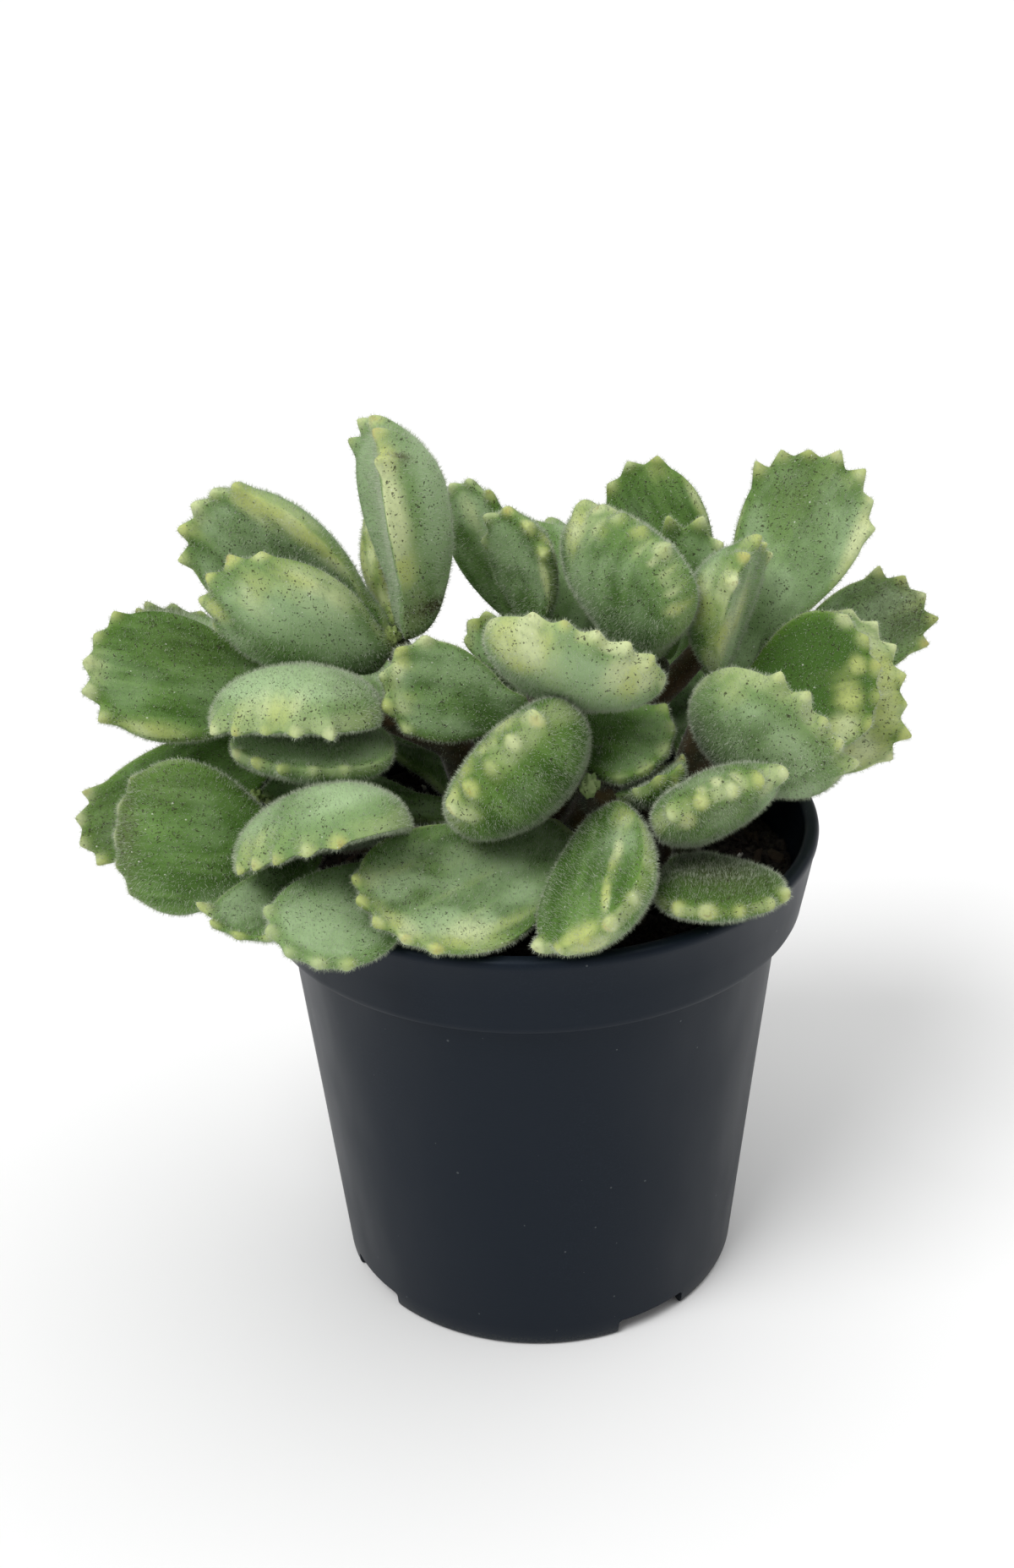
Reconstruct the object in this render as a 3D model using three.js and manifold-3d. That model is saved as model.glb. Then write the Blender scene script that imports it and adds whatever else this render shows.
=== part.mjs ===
// A bear's paw succulent (Cotyledon tomentosa, the cream-edged form) in a round nursery pot.
// Millimetres, +Z up. The origin is the middle of the pot's flat base, and -Y is the plant's front.
import * as THREE from "three";
import { mergeVertices } from "three/addons/utils/BufferGeometryUtils.js";
import Module from "manifold-3d";

// Pot
const POT_HEIGHT = 94;
const LIP_RADIUS = 52.5;
const COLLAR_HEIGHT = 15.7;
const COLLAR_FOOT_RADIUS = 50;
const BODY_TOP_RADIUS = 46.2;
const BASE_RADIUS = 39;
const WALL = 1.3;
const LIP_WIDTH = 2.8;
const FLOOR = 2;
const DRAIN_SLOTS = 4;
const DRAIN_TURN = 33; // degrees from +X to the first slot
const DRAIN_WIDTH = 15;
const DRAIN_HEIGHT = 3.2;
const DRAIN_DEPTH = 5;
const ROUND_STEPS = 32;

// Soil
const SOIL_LEVEL = 83;
const SOIL_WAVE = 0.9;
const GAP = 0.3;

// Stems
const STEM_SIDES = 8;
const STEM_STEP = 5;
const ROOT_DEPTH = 8;

// Leaves
const PLAIN_LEAF = {
  broad: 0.64, back: 7.5, front: 2, bow: 1, cup: 1, foot: 1.1, seat: 0.5, teeth: 5, tooth: 1.5, pitch: 5,
};
const BUD_LEAF = { broad: 0.55, back: 1.3, front: 0.6, bow: 0.3, cup: 0.3, foot: 0.8, seat: -3, teeth: 0 };
const FOOT_HALF_WIDTH = 2.2;
const CROWN = 0.6; // how far along a leaf its two faces stand highest
const PLAIN_STEPS = 5; // outline steps on each side below the toothed margin
const RING_ANGLES = [30, 60]; // degrees from a face's crown to the margin at 90

const wasm = await Module();
wasm.setup();

const palette = {
  pot: { color: 0x2b3036, roughness: 0.38, metalness: 0 },
  soil: { color: 0x17130f, roughness: 1, metalness: 0 },
  stem: { color: 0x6b5a3a, roughness: 0.9, metalness: 0 },
  leaf: { color: 0x86a873, roughness: 0.75, metalness: 0 },
};

const vec = (p) => new THREE.Vector3(...p);

function asSolid(geometry) {
  const bare = geometry.clone();
  bare.deleteAttribute("normal");
  bare.deleteAttribute("uv");
  const merged = mergeVertices(bare, 1e-4);
  return new wasm.Manifold(
    new wasm.Mesh({
      numProp: 3,
      vertProperties: merged.attributes.position.array,
      triVerts: new Uint32Array(merged.index.array),
    }),
  );
}

function asGeometry(solid) {
  const mesh = solid.getMesh();
  const geometry = new THREE.BufferGeometry();
  geometry.setAttribute("position", new THREE.BufferAttribute(mesh.vertProperties, 3));
  geometry.setIndex(new THREE.BufferAttribute(mesh.triVerts, 1));
  return geometry;
}

function turned(profile) {
  const points = profile.map(([r, z]) => new THREE.Vector2(r, z));
  return new THREE.LatheGeometry(points, ROUND_STEPS).rotateX(Math.PI / 2);
}

// ---------------------------------------------------------------- pot

const bodyRadius = (z) =>
  BASE_RADIUS + ((BODY_TOP_RADIUS - BASE_RADIUS) * z) / (POT_HEIGHT - COLLAR_HEIGHT);

function potGeometry() {
  const ledge = POT_HEIGHT - COLLAR_HEIGHT;
  const lipIn = LIP_RADIUS - LIP_WIDTH;
  const profile = [
    [0, 0],
    [BASE_RADIUS - 1, 0],
    [BASE_RADIUS, 1],
    [bodyRadius(ledge), ledge],
    [COLLAR_FOOT_RADIUS - 0.6, ledge],
    [COLLAR_FOOT_RADIUS, ledge + 0.8],
    [LIP_RADIUS - 0.3, POT_HEIGHT - 2],
    [LIP_RADIUS, POT_HEIGHT - 1.1],
    [LIP_RADIUS - 0.9, POT_HEIGHT],
    [lipIn + 0.7, POT_HEIGHT],
    [lipIn, POT_HEIGHT - 0.9],
    [COLLAR_FOOT_RADIUS - 1.6, ledge + 1.6],
    [bodyRadius(ledge) - WALL, ledge - 1.5],
    [bodyRadius(FLOOR) - WALL, FLOOR],
    [0, FLOOR],
  ];
  let pot = asSolid(turned(profile));
  for (let i = 0; i < DRAIN_SLOTS; i++) {
    const slot = new THREE.BoxGeometry(2 * DRAIN_DEPTH, DRAIN_WIDTH, 2 * DRAIN_HEIGHT);
    slot.translate(BASE_RADIUS, 0, 0);
    slot.rotateZ(THREE.MathUtils.degToRad(DRAIN_TURN + (360 * i) / DRAIN_SLOTS));
    pot = pot.subtract(asSolid(slot));
  }
  return asGeometry(pot);
}

// ---------------------------------------------------------------- stems

const ROOT = SOIL_LEVEL - ROOT_DEPTH;

// The line that each branch follows, as [x, y, z, radius] from its root or its fork to its end.
const branches = {
  left: [[-8, 6, ROOT, 4.2], [-10, 5, 92, 4], [-14, 3, 107, 3.6], [-20, 1, 119, 3.1], [-23, 1, 127, 2.5]],
  left_side: [[-14, 3, 107, 3.2], [-26, 2, 113, 2.8], [-37, 0, 117, 2.3]],
  front: [
    [-8, -14, ROOT, 4], [-10, -16, 90, 3.8], [-16, -19, 97, 3.4], [-25, -20, 99.5, 3], [-38, -19, 99.5, 2.3],
  ],
  centre: [[6, -2, ROOT, 4.6], [6, -4, 92, 4.4], [4, -6, 107, 3.8], [2, -6, 122, 2.8]],
  centre_side: [[6, -4, 92, 3.4], [10, -12, 101, 3.1], [13, -20.5, 107, 2.4]],
  centre_spur: [[6, -4, 88, 3.4], [7, -10, 95, 3], [8, -15, 99.5, 2.5]],
  crown: [[14, 15, ROOT, 4.2], [14, 13, 95, 4], [18, 9, 108, 3.5], [23, 6, 120, 2.8]],
  crown_side: [[14, 13, 95, 3.3], [8, 13, 109, 3], [2, 10, 121, 2.5]],
  crown_back: [[18, 9, 108, 3], [27, 14, 114, 2.7], [34, 17, 121, 2.3]],
  right: [[27, 2, ROOT, 4.4], [28, 1, 92, 4.2], [30, -1, 106, 3.6], [33, -2, 117, 2.8]],
  right_side: [[28, 1, 92, 3.4], [33, 9, 101, 3], [41, 17, 109, 2.4]],
  low: [[25, -18, ROOT, 3], [26, -19, 88, 2.8], [27, -19, 99, 2.3]],
};

// The branches that each stem holds. The first one stands in the soil.
const stems = {
  stem_left: ["left", "left_side"],
  stem_front: ["front"],
  stem_centre: ["centre", "centre_side", "centre_spur"],
  stem_crown: ["crown", "crown_side", "crown_back"],
  stem_right: ["right", "right_side"],
  stem_low: ["low"],
};

// The youngest leaves, still folded at the growing tips, as [branch, tip, the way the upper side
// looks, width]. Their feet run into the branch's end.
const buds = [
  ["centre_side", [9, -21.5, 111.8], [0.5, 0.2, 0.8], 3.4],
  ["low", [33.5, -20, 101.5], [-0.5, 0.5, 0.7], 3.4],
  ["left", [-21, -6.5, 128], [-0.7, 0.5, 0.5], 3.4],
  ["right", [34.5, -8, 120.5], [0, 0.8, 0.6], 3.2],
  ["crown_back", [39, 14.5, 126.5], [-0.7, -0.4, 0.5], 3.6],
];

function stemCurve(points) {
  return new THREE.CatmullRomCurve3(points.map(([x, y, z]) => new THREE.Vector3(x, y, z)));
}

function stemRadius(points, t) {
  const at = t * (points.length - 1);
  const i = Math.min(Math.floor(at), points.length - 2);
  return THREE.MathUtils.lerp(points[i][3], points[i + 1][3], at - i);
}

// A closed round tube along the points, with a domed upper end; extra widens it.
function tube(points, extra = 0) {
  const curve = stemCurve(points);
  const steps = Math.max(3, Math.round(curve.getLength() / STEM_STEP));
  const frames = curve.computeFrenetFrames(steps, false);
  const position = [];
  const index = [];
  const ring = (centre, i, radius) => {
    for (let k = 0; k < STEM_SIDES; k++) {
      const a = (k / STEM_SIDES) * 2 * Math.PI;
      const p = centre
        .clone()
        .addScaledVector(frames.normals[i], radius * Math.cos(a))
        .addScaledVector(frames.binormals[i], radius * Math.sin(a));
      position.push(p.x, p.y, p.z);
    }
  };
  for (let i = 0; i <= steps; i++) {
    const t = i / steps;
    ring(curve.getPoint(t), i, stemRadius(points, t) + extra);
  }
  const endRadius = stemRadius(points, 1) + extra;
  const end = curve.getPoint(1);
  ring(end.clone().addScaledVector(frames.tangents[steps], 0.6 * endRadius), steps, 0.7 * endRadius);
  const rings = steps + 2;
  const start = curve.getPoint(0).addScaledVector(frames.tangents[0], -extra);
  const top = end.clone().addScaledVector(frames.tangents[steps], 0.9 * endRadius);
  position.push(start.x, start.y, start.z, top.x, top.y, top.z);
  const bottomPole = rings * STEM_SIDES;
  for (let k = 0; k < STEM_SIDES; k++) {
    const next = (k + 1) % STEM_SIDES;
    for (let i = 0; i < rings - 1; i++) {
      const a = i * STEM_SIDES + k;
      const b = i * STEM_SIDES + next;
      index.push(a, b, b + STEM_SIDES, a, b + STEM_SIDES, a + STEM_SIDES);
    }
    index.push(bottomPole, next, k);
    index.push(bottomPole + 1, (rings - 1) * STEM_SIDES + k, (rings - 1) * STEM_SIDES + next);
  }
  const geometry = new THREE.BufferGeometry();
  geometry.setAttribute("position", new THREE.Float32BufferAttribute(position, 3));
  geometry.setIndex(index);
  return geometry;
}

function stemGeometry(stem) {
  const pieces = stem.map((name) => asSolid(tube(branches[name])));
  for (const [branch, tip, face, wide] of buds) {
    if (!stem.includes(branch)) continue;
    pieces.push(asSolid(leafGeometry([branch, 1, tip, face, wide, BUD_LEAF], 0)));
  }
  return asGeometry(pieces.reduce((all, piece) => all.add(piece)));
}

// ---------------------------------------------------------------- soil

function soilGeometry() {
  const ledge = POT_HEIGHT - COLLAR_HEIGHT;
  const wallAt = (z) =>
    THREE.MathUtils.lerp(
      COLLAR_FOOT_RADIUS - 1.6,
      LIP_RADIUS - LIP_WIDTH,
      (z - ledge - 1.6) / (COLLAR_HEIGHT - 2.5),
    );
  const profile = [
    [0, FLOOR + GAP],
    [bodyRadius(FLOOR) - WALL - GAP - 0.1, FLOOR + GAP],
    [bodyRadius(ledge) - WALL - GAP - 0.1, ledge - 1.5],
    [COLLAR_FOOT_RADIUS - 1.6 - GAP - 0.2, ledge + 1.7],
    [wallAt(SOIL_LEVEL) - GAP - 0.2, SOIL_LEVEL],
    ...[40, 30, 19, 8, 0].map((r) => [r, SOIL_LEVEL]),
  ];
  const geometry = turned(profile);
  const p = geometry.attributes.position;
  for (let i = 0; i < p.count; i++) {
    if (p.getZ(i) < SOIL_LEVEL - 0.01) continue;
    const [x, y] = [p.getX(i), p.getY(i)];
    const wave = Math.sin(0.17 * x + 1.3) * Math.cos(0.21 * y - 0.4) + 0.6 * Math.sin(0.31 * x - 0.27 * y);
    p.setZ(i, SOIL_LEVEL + SOIL_WAVE * wave);
  }
  let soil = asSolid(geometry);
  for (const [trunk] of Object.values(stems)) soil = soil.subtract(asSolid(tube(branches[trunk], GAP)));
  return asGeometry(soil);
}

// ---------------------------------------------------------------- leaves

// Each leaf is [branch, how far along it, tip, the way its upper side looks, width, the rest]. In the
// rest, back and front are how far its lower and upper sides swell from the margin; broad is where it
// is widest, as a fraction of its length; foot makes it blunt at the stem where it is small; bow sets
// the middle of its length back, cup lifts its sides, and seat is the space at its foot. The margin
// round the tip carries teeth, with tooth their length and pitch their spacing.
const leaves = {
  left_top_1: ["left", 0.9, [-56, 4, 152], [0, -1, -0.4], 25, { cup: 3 }],
  left_top_2: ["left", 0.88, [-53, -6, 142.5], [0, 0.95, 0.25], 21.5, { broad: 0.57, back: 6 }],
  left_top_3: ["left", 0.84, [-25, 4, 166], [-0.95, -0.3, 0.1], 20, { back: 10, cup: 3, seat: 1 }],
  left_top_4: ["left", 1, [-27, 23, 144], [0.8, -0.4, 0.1], 11, { back: 3, seat: 0.8 }],
  left_1: ["left_side", 1, [-75, -10, 129.5], [-0.1, -0.7, 0.7], 23.5, { back: 6 }],
  left_2: ["left_side", 0.95, [-70, 23, 126], [0, 0.3, 1], 20, { back: 5 }],
  left_3: ["left_side", 0.8, [-43, -30.5, 126], [0, -0.3, -1], 29, { back: 8.5, foot: 0.7, seat: 1 }],
  left_4: ["left_side", 0.7, [-41, -26.5, 117], [0, 0, 1], 29, { back: 4.7, foot: 0.7, seat: 0.8 }],
  left_5: ["left_side", 0.9, [-81, -7, 93.3], [0, -0.8, 0.5], 18, {}],
  front_1: [
    "front", 0.72, [-40.2, -45.5, 110.3], [0.45, -0.1, -1], 32,
    { back: 9.2, front: 0.8, bow: 1.7, foot: 0.7, seat: 0.8 },
  ],
  front_2: ["front", 0.98, [-71, -25, 104], [0.1, 0.8, -0.3], 27, { tooth: 0.8 }],
  front_3: ["front", 0.55, [-38, -60, 101.5], [0, -0.6, 0.7], 19.5, { back: 3.5, bow: 1.5, seat: 0.8 }],
  front_4: [
    "front", 1, [-47.6, -50, 98.8], [-0.1, -0.6, 0.7], 16,
    { back: 2.7, front: 0.8, bow: 2.4, seat: 0.8 },
  ],
  centre_1: ["centre", 0.85, [-24, -15, 128], [0, -0.8, 0.5], 17, { back: 6 }],
  centre_2: ["centre", 0.65, [-6, -38.6, 122], [-0.57, 0.75, 0.42], 28.5, { back: 8, front: 7.3, foot: 0.8 }],
  centre_3: ["centre_spur", 1, [-24.2, -52, 102], [0.04, -0.4, 0.85], 29, { back: 5, front: 0.6 }],
  centre_4: ["centre_side", 1, [8, -57, 100.8], [-0.6, -0.1, 0.8], 22, { back: 6.8, front: 3, foot: 0.6 }],
  centre_5: ["centre", 1, [10.5, -31, 141], [0.35, 0.27, 0.87], 31, { back: 6, foot: 0.7 }],
  centre_6: ["centre", 0.85, [23, -20, 115.5], [0, -0.5, 0.85], 17, { back: 4, tooth: 0.6 }],
  centre_7: [
    "centre", 1, [-9.5, 0, 131], [0, -0.9, 0.3], 8,
    { back: 3, front: 1.5, teeth: 3, pitch: 3, tooth: 1, seat: -1 },
  ],
  crown_1: ["crown_side", 0.95, [-13, 26.5, 147.3], [-0.7, -0.6, 0.2], 16, { back: 3 }],
  crown_2: ["crown_side", 1, [-3, 6.5, 149], [-0.65, -0.7, 0.1], 14, { back: 5, broad: 0.55 }],
  crown_3: ["crown", 0.97, [15.2, -5, 151.2], [0.7, 0.5, 0.45], 29.8, { front: 7, tooth: 1.1 }],
  crown_4: ["crown_back", 1, [19.3, 26, 150.3], [0, -1, 0.2], 18, { back: 6, teeth: 3, tooth: 1.6 }],
  crown_5: [
    "crown", 0.95, [30.3, 10.5, 144], [0, -1, 0.2], 12,
    { back: 4, teeth: 3, tooth: 2.5, seat: -2.2 },
  ],
  right_1: ["right", 0.98, [38.5, -2, 145], [0.9, -0.4, 0.1], 20, { back: 7.5, foot: 0.6 }],
  right_2: ["right", 0.94, [55.5, 22, 152], [0, -0.9, 0.4], 22.5, { broad: 0.72, back: 6.5, teeth: 7 }],
  right_3: ["right", 0.95, [60, -6, 124], [-0.3, -0.8, 0.5], 25, { back: 5, tooth: 0.9 }],
  right_4: ["right", 0.78, [48, -28, 124], [0.5, 0.7, 0.4], 28, { back: 8.5, foot: 0.6, broad: 0.58 }],
  right_5: ["right", 0.85, [67, 8, 116], [-0.3, -0.8, 0.4], 30, { back: 5, teeth: 7 }],
  right_6: ["right_side", 1, [75.3, 34, 121], [0, -0.8, 0.6], 18, { back: 4 }],
  low_1: [
    "centre_side", 0.85, [25, -24, 114], [-0.55, 0.35, 0.75], 11,
    { back: 3.6, front: 1.2, tooth: 0.8 },
  ],
  low_2: ["low", 1, [32, -40, 118], [-0.34, 0.62, 0.5], 22, { back: 3.6, front: 6.5, foot: 0.8 }],
  low_3: ["low", 0.8, [33, -48.5, 100.2], [0, 0, 1], 22, { front: 4, back: 2.9, foot: 0.7 }],
  back_1: ["left", 0.48, [-43, 42, 109], [0, 0.4, 0.9], 22, { back: 5 }],
  back_2: ["left", 0.75, [-11, 40, 106.5], [0, 0.4, 0.9], 22, { back: 5 }],
  back_3: ["left_side", 0.75, [-66, 30, 107], [0, 0.3, 0.9], 20, { back: 4.5, seat: 0.9 }],
  back_4: ["crown", 0.6, [22, 52, 116], [0, 0.4, 0.9], 24, {}],
  back_5: ["crown_side", 0.45, [-1, 54, 101], [0, 0.4, 0.9], 22, { back: 5 }],
  back_6: ["crown_back", 0.9, [40, 46, 126], [0, 0.9, 0.4], 22, {}],
  back_7: ["crown_side", 0.9, [9, 36, 134], [0, 0.9, 0.3], 22, {}],
  back_8: ["right_side", 0.9, [67, 28, 106], [0, 0.4, 0.9], 20, { back: 5 }],
  back_9: ["right_side", 0.8, [46, 50, 117], [0, 0.5, 0.9], 23, { back: 5, seat: 1.2 }],
  back_10: ["left", 0.26, [-30, 54, 101], [0, 0, 1], 22, { back: 4 }],
  back_11: ["right_side", 0.35, [34, 50, 101], [0, 0, 1], 22, { back: 4 }],
  back_12: ["left", 0.22, [-54, 11, 98], [0, -0.2, 1], 16, { back: 3 }],
};

function outlineHalfWidth(angle, leaf) {
  const power = angle < Math.PI / 2 ? leaf.foot : 1;
  return (leaf.wide / 2) * Math.sin(angle) ** power;
}

// The leaf's outline in its own plane, from its foot round one side to the tip and back, as
// [u, v, tooth]: distance along, distance across, and tooth length at that point.
function outline(leaf, length, seed) {
  const power = Math.log(leaf.broad) / Math.log(0.5);
  const half = [];
  for (let i = 0; i <= 120; i++) {
    const a = (i / 120) * Math.PI;
    half.push([length * ((1 - Math.cos(a)) / 2) ** power, outlineHalfWidth(a, leaf)]);
  }
  const reach = [0];
  for (let i = 1; i < half.length; i++) {
    reach.push(reach[i - 1] + Math.hypot(half[i][0] - half[i - 1][0], half[i][1] - half[i - 1][1]));
  }
  const total = reach.at(-1);
  const at = (s) => {
    const side = s > total ? -1 : 1;
    const d = side > 0 ? s : 2 * total - s;
    let i = reach.findIndex((r) => r >= d);
    if (i < 1) i = 1;
    const f = (d - reach[i - 1]) / (reach[i] - reach[i - 1]);
    return [
      THREE.MathUtils.lerp(half[i - 1][0], half[i][0], f),
      side * THREE.MathUtils.lerp(half[i - 1][1], half[i][1], f),
    ];
  };
  const points = [[0, 0, 0], [0, FOOT_HALF_WIDTH, 0]];
  const toothedHalf = (leaf.teeth * leaf.pitch) / 2;
  const plainEnd = total - toothedHalf;
  for (let i = 1; i < PLAIN_STEPS; i++) {
    points.push([...at(FOOT_HALF_WIDTH + ((plainEnd - FOOT_HALF_WIDTH) * i) / PLAIN_STEPS), 0]);
  }
  for (let i = 0; i <= 2 * leaf.teeth; i++) {
    const isTip = i % 2 === 1;
    const vary = 1 + 0.3 * Math.sin(seed * 3.1 + i * 2.3);
    points.push([...at(plainEnd + (i * leaf.pitch) / 2), isTip ? leaf.tooth * vary : 0]);
  }
  for (let i = PLAIN_STEPS - 1; i > 0; i--) {
    const [u, v] = points[1 + i];
    points.push([u, -v, 0]);
  }
  points.push([0, -FOOT_HALF_WIDTH, 0]);
  return points;
}

function leafFrame(leaf) {
  const [branch, fraction] = leaf.on;
  const points = branches[branch];
  const centre = stemCurve(points).getPoint(fraction);
  const tip = vec(leaf.tip);
  const along = tip.clone().sub(centre).normalize();
  const tangent = stemCurve(points).getTangent(fraction);
  const lean = Math.sqrt(Math.max(0.2, 1 - along.dot(tangent) ** 2));
  const reach = stemRadius(points, fraction) / lean + leaf.seat;
  const base = centre.addScaledVector(along, reach);
  const length = tip.distanceTo(base);
  const face = vec(leaf.face);
  face.addScaledVector(along, -face.dot(along)).normalize();
  const across = new THREE.Vector3().crossVectors(face, along);
  return { base, along, face, across, length };
}

function leafGeometry([branch, fraction, tip, look, wide, rest], seed) {
  const leaf = {
    on: [branch, fraction], tip, face: look, wide, ...PLAIN_LEAF, ...rest,
  };
  const { base, along, face, across, length } = leafFrame(leaf);
  const margin = outline(leaf, length, seed);
  const crown = CROWN * length;
  const count = margin.length;
  const position = [];
  const index = [];
  const place = (u, v, w) => {
    const t = THREE.MathUtils.clamp(u / length, 0, 1);
    const lift = w - leaf.bow * 4 * t * (1 - t) + leaf.cup * (2 * v / leaf.wide) ** 2;
    const p = base
      .clone()
      .addScaledVector(along, u)
      .addScaledVector(across, v)
      .addScaledVector(face, lift);
    position.push(p.x, p.y, p.z);
  };
  const ring = (angle, swell) => {
    const inward = Math.sin(THREE.MathUtils.degToRad(angle));
    const height = swell * Math.cos(THREE.MathUtils.degToRad(angle)) ** 0.75;
    for (const [u, v] of margin) place(crown + (u - crown) * inward, v * inward, height);
  };
  place(crown, 0, leaf.front);
  RING_ANGLES.forEach((angle) => ring(angle, leaf.front));
  for (const [u, v, tooth] of margin) {
    const out = Math.hypot(u - crown, v);
    place(u + (tooth * (u - crown)) / out, v + (tooth * v) / out, 0.3 * tooth);
  }
  [...RING_ANGLES].reverse().forEach((angle) => ring(angle, -leaf.back));
  place(crown, 0, -leaf.back);
  const rings = 2 * RING_ANGLES.length + 1;
  const last = rings * count + 1;
  for (let k = 0; k < count; k++) {
    const next = (k + 1) % count;
    index.push(0, 1 + next, 1 + k);
    for (let i = 0; i < rings - 1; i++) {
      const a = 1 + i * count + k;
      const b = 1 + i * count + next;
      index.push(a, b, b + count, a, b + count, a + count);
    }
    index.push(last, 1 + (rings - 1) * count + k, 1 + (rings - 1) * count + next);
  }
  const geometry = new THREE.BufferGeometry();
  geometry.setAttribute("position", new THREE.Float32BufferAttribute(position, 3));
  geometry.setIndex(index);
  return geometry;
}

// ---------------------------------------------------------------- the plant in its pot

const plant = new THREE.Group();

function add(name, geometry, look) {
  const mesh = new THREE.Mesh(geometry, new THREE.MeshStandardMaterial(palette[look]));
  mesh.name = name;
  plant.add(mesh);
}

add("pot", potGeometry(), "pot");
add("soil", soilGeometry(), "soil");
for (const [name, stem] of Object.entries(stems)) add(name, stemGeometry(stem), "stem");
Object.entries(leaves).forEach(([name, leaf], i) => add("leaf_" + name, leafGeometry(leaf, i), "leaf"));

export default plant;
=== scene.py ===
"""Looks of the bear's paw succulent in its nursery pot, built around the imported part.

The leaves are rebuilt finely from their own CAD nodes: each node's margin, crowns and teeth are
read off its mesh, and a smooth leaf with claw-like teeth is laid through them. Stems, pot and
potting mix are replaced by finer pieces of the same form. Felt, buds, crumbs and colours are added.
Lengths are in millimetres and are turned into metres where a mesh is made.
"""

import math

import bmesh
import bpy
import numpy as np
from mathutils import Matrix, Vector, noise


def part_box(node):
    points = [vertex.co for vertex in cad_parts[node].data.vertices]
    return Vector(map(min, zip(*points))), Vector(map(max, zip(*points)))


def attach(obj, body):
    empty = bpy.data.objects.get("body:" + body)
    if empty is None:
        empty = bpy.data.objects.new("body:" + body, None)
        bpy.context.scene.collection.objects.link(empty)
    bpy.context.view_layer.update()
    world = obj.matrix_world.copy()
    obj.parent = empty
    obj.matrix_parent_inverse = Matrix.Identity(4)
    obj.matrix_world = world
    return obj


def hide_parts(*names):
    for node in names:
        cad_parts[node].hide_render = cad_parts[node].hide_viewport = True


MM = 0.001
RANDOM_SEED = 20

# Camera: a pinhole fitted to the pot's lip, collar and foot
IMAGE_WIDTH, IMAGE_HEIGHT = 1200, 1855
FOCAL_PIXELS = 2327.0
PRINCIPAL_X, PRINCIPAL_Y = 631.2, 1039.4
CAMERA_DISTANCE = 369.2
CAMERA_ELEVATION = math.radians(29.35)
CAMERA_ROLL = math.radians(1.17)
LOOK_AT_HEIGHT = 80.0
SENSOR = 36.0

# Studio: sizes in metres, and each sun as (from, spread in degrees, strength)
CLIP_START, CLIP_END = 0.01, 20
FLOOR_RADIUS = 6.0
FLOOR_DROP = 0.0002
SKY_STRENGTH = 0.45
SUNS = {"key": ((-0.5, -0.55, 1), 30, 1.8), "top": ((0.25, 0.2, 1), 70, 1.0)}

# How the CAD leaves are made: a margin with tooth tips between some of its points, and rings of
# points that rise from it to a pole on either side
FOOT_HALF_WIDTH = 2.2  # from the middle of the foot to the margin's next point
CROWN = 0.6  # where the poles are along the leaf
MARGIN_LEVEL = 3  # links from a pole to the margin
PLAIN_POINTS = 12  # points of the margin's stretch without teeth
FIRST_TIP = 7  # place of the first tooth's tip in the margin
WELD = 2e-5  # in metres

# Fine leaves. Their rings are given by an angle: 0 is the front pole, 90 the margin, 180 the back.
RING_ANGLES = (
    9, 18, 27, 36, 45, 54, 62, 69, 75, 80, 84.5, 88,
    90.5, 93, 96.5, 101, 107, 114, 122, 131, 141, 151, 162, 171,
)
PLAIN_SPACING = 1.15
TOOTH_SPACING = 0.36
TOOTH_SURROUND = 0.5  # how far the closer points go on beside a tooth
LAST_SPACING = 0.3  # the least from the last point to the first
FOOT_RISE, TIP_RISE = 0.75, 1.0  # powers of the section's rise: a lower one is fuller
SIDE_BLEND = 1.2  # how fast the upper side gives way to the lower one at the margin
TOOTH_HALF_WIDTH = 2.45
TOOTH_BLUNTNESS = 0.1
TOOTH_HOLLOW = 1.55
TOOTH_FADE = 17.0
TOOTH_REACH = (0.75, 1.45)
TOOTH_LIFT = 0.3
RIDGE_WIDTH = 1.3
RIDGE_HEIGHT = 0.45
RIDGE_ANGLE = 11
SINK, SINK_LENGTH, SINK_LIMIT = 0.7, 6, 1.2
WOBBLE, WOBBLE_BROAD, WOBBLE_SMALL = 0.45, 0.11, 0.27  # height and two frequencies
CLAW_RADIUS = 2.1
CLAW_STRENGTH = (0.6, 1.1)
SEED_STEP = 31.0  # shift of the colour patterns from one leaf to the next

# Felt
HAIRS_PER_MM2 = 8.5
HAIRS_PER_MM2_BEHIND = 6.0
HAIRS_PER_MM2_STEMS = 3.5
STEM_HAIR_SCALE = 0.8
HAIR_LENGTH = (0.45, 1.0)
HAIR_WIDTH = (0.045, 0.085)
HAIR_SPREAD = 0.33
HAIR_LEAN = 0.25
HAIR_ROOT = 0.06

# Stems
STEM_VOXEL = 0.55
STEM_SMOOTHINGS, STEM_SMOOTH_FACTOR = 7, 0.5

# Buds, as (x, y, z, radius, height), and what the leaves' material reads on them
BUDS = {
    "bud_centre": (9.8, -24.4, 111.6, 1.7, 2.1),
    "bud_left": (-24.0, -0.8, 129.6, 1.7, 1.9),
    "bud_low_left": (-49.4, -7.6, 101.8, 1.6, 1.7),
}
BUD_LOOKS = {"rim": 0.9, "claw": 0.2, "cream": 0.6, "bloom_and_light": 0.3, "patch": 0.4, "dirt": 0.3}
BUD_RINGS, BUD_STEPS = 20, 40
BUD_LOBES, BUD_TWIST = 5, 1.3
BUD_WAIST, BUD_FOLD = 0.72, 0.34
BUD_CRUMPLE, BUD_CRUMPLE_SCALE = 0.35, 2.2

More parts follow.
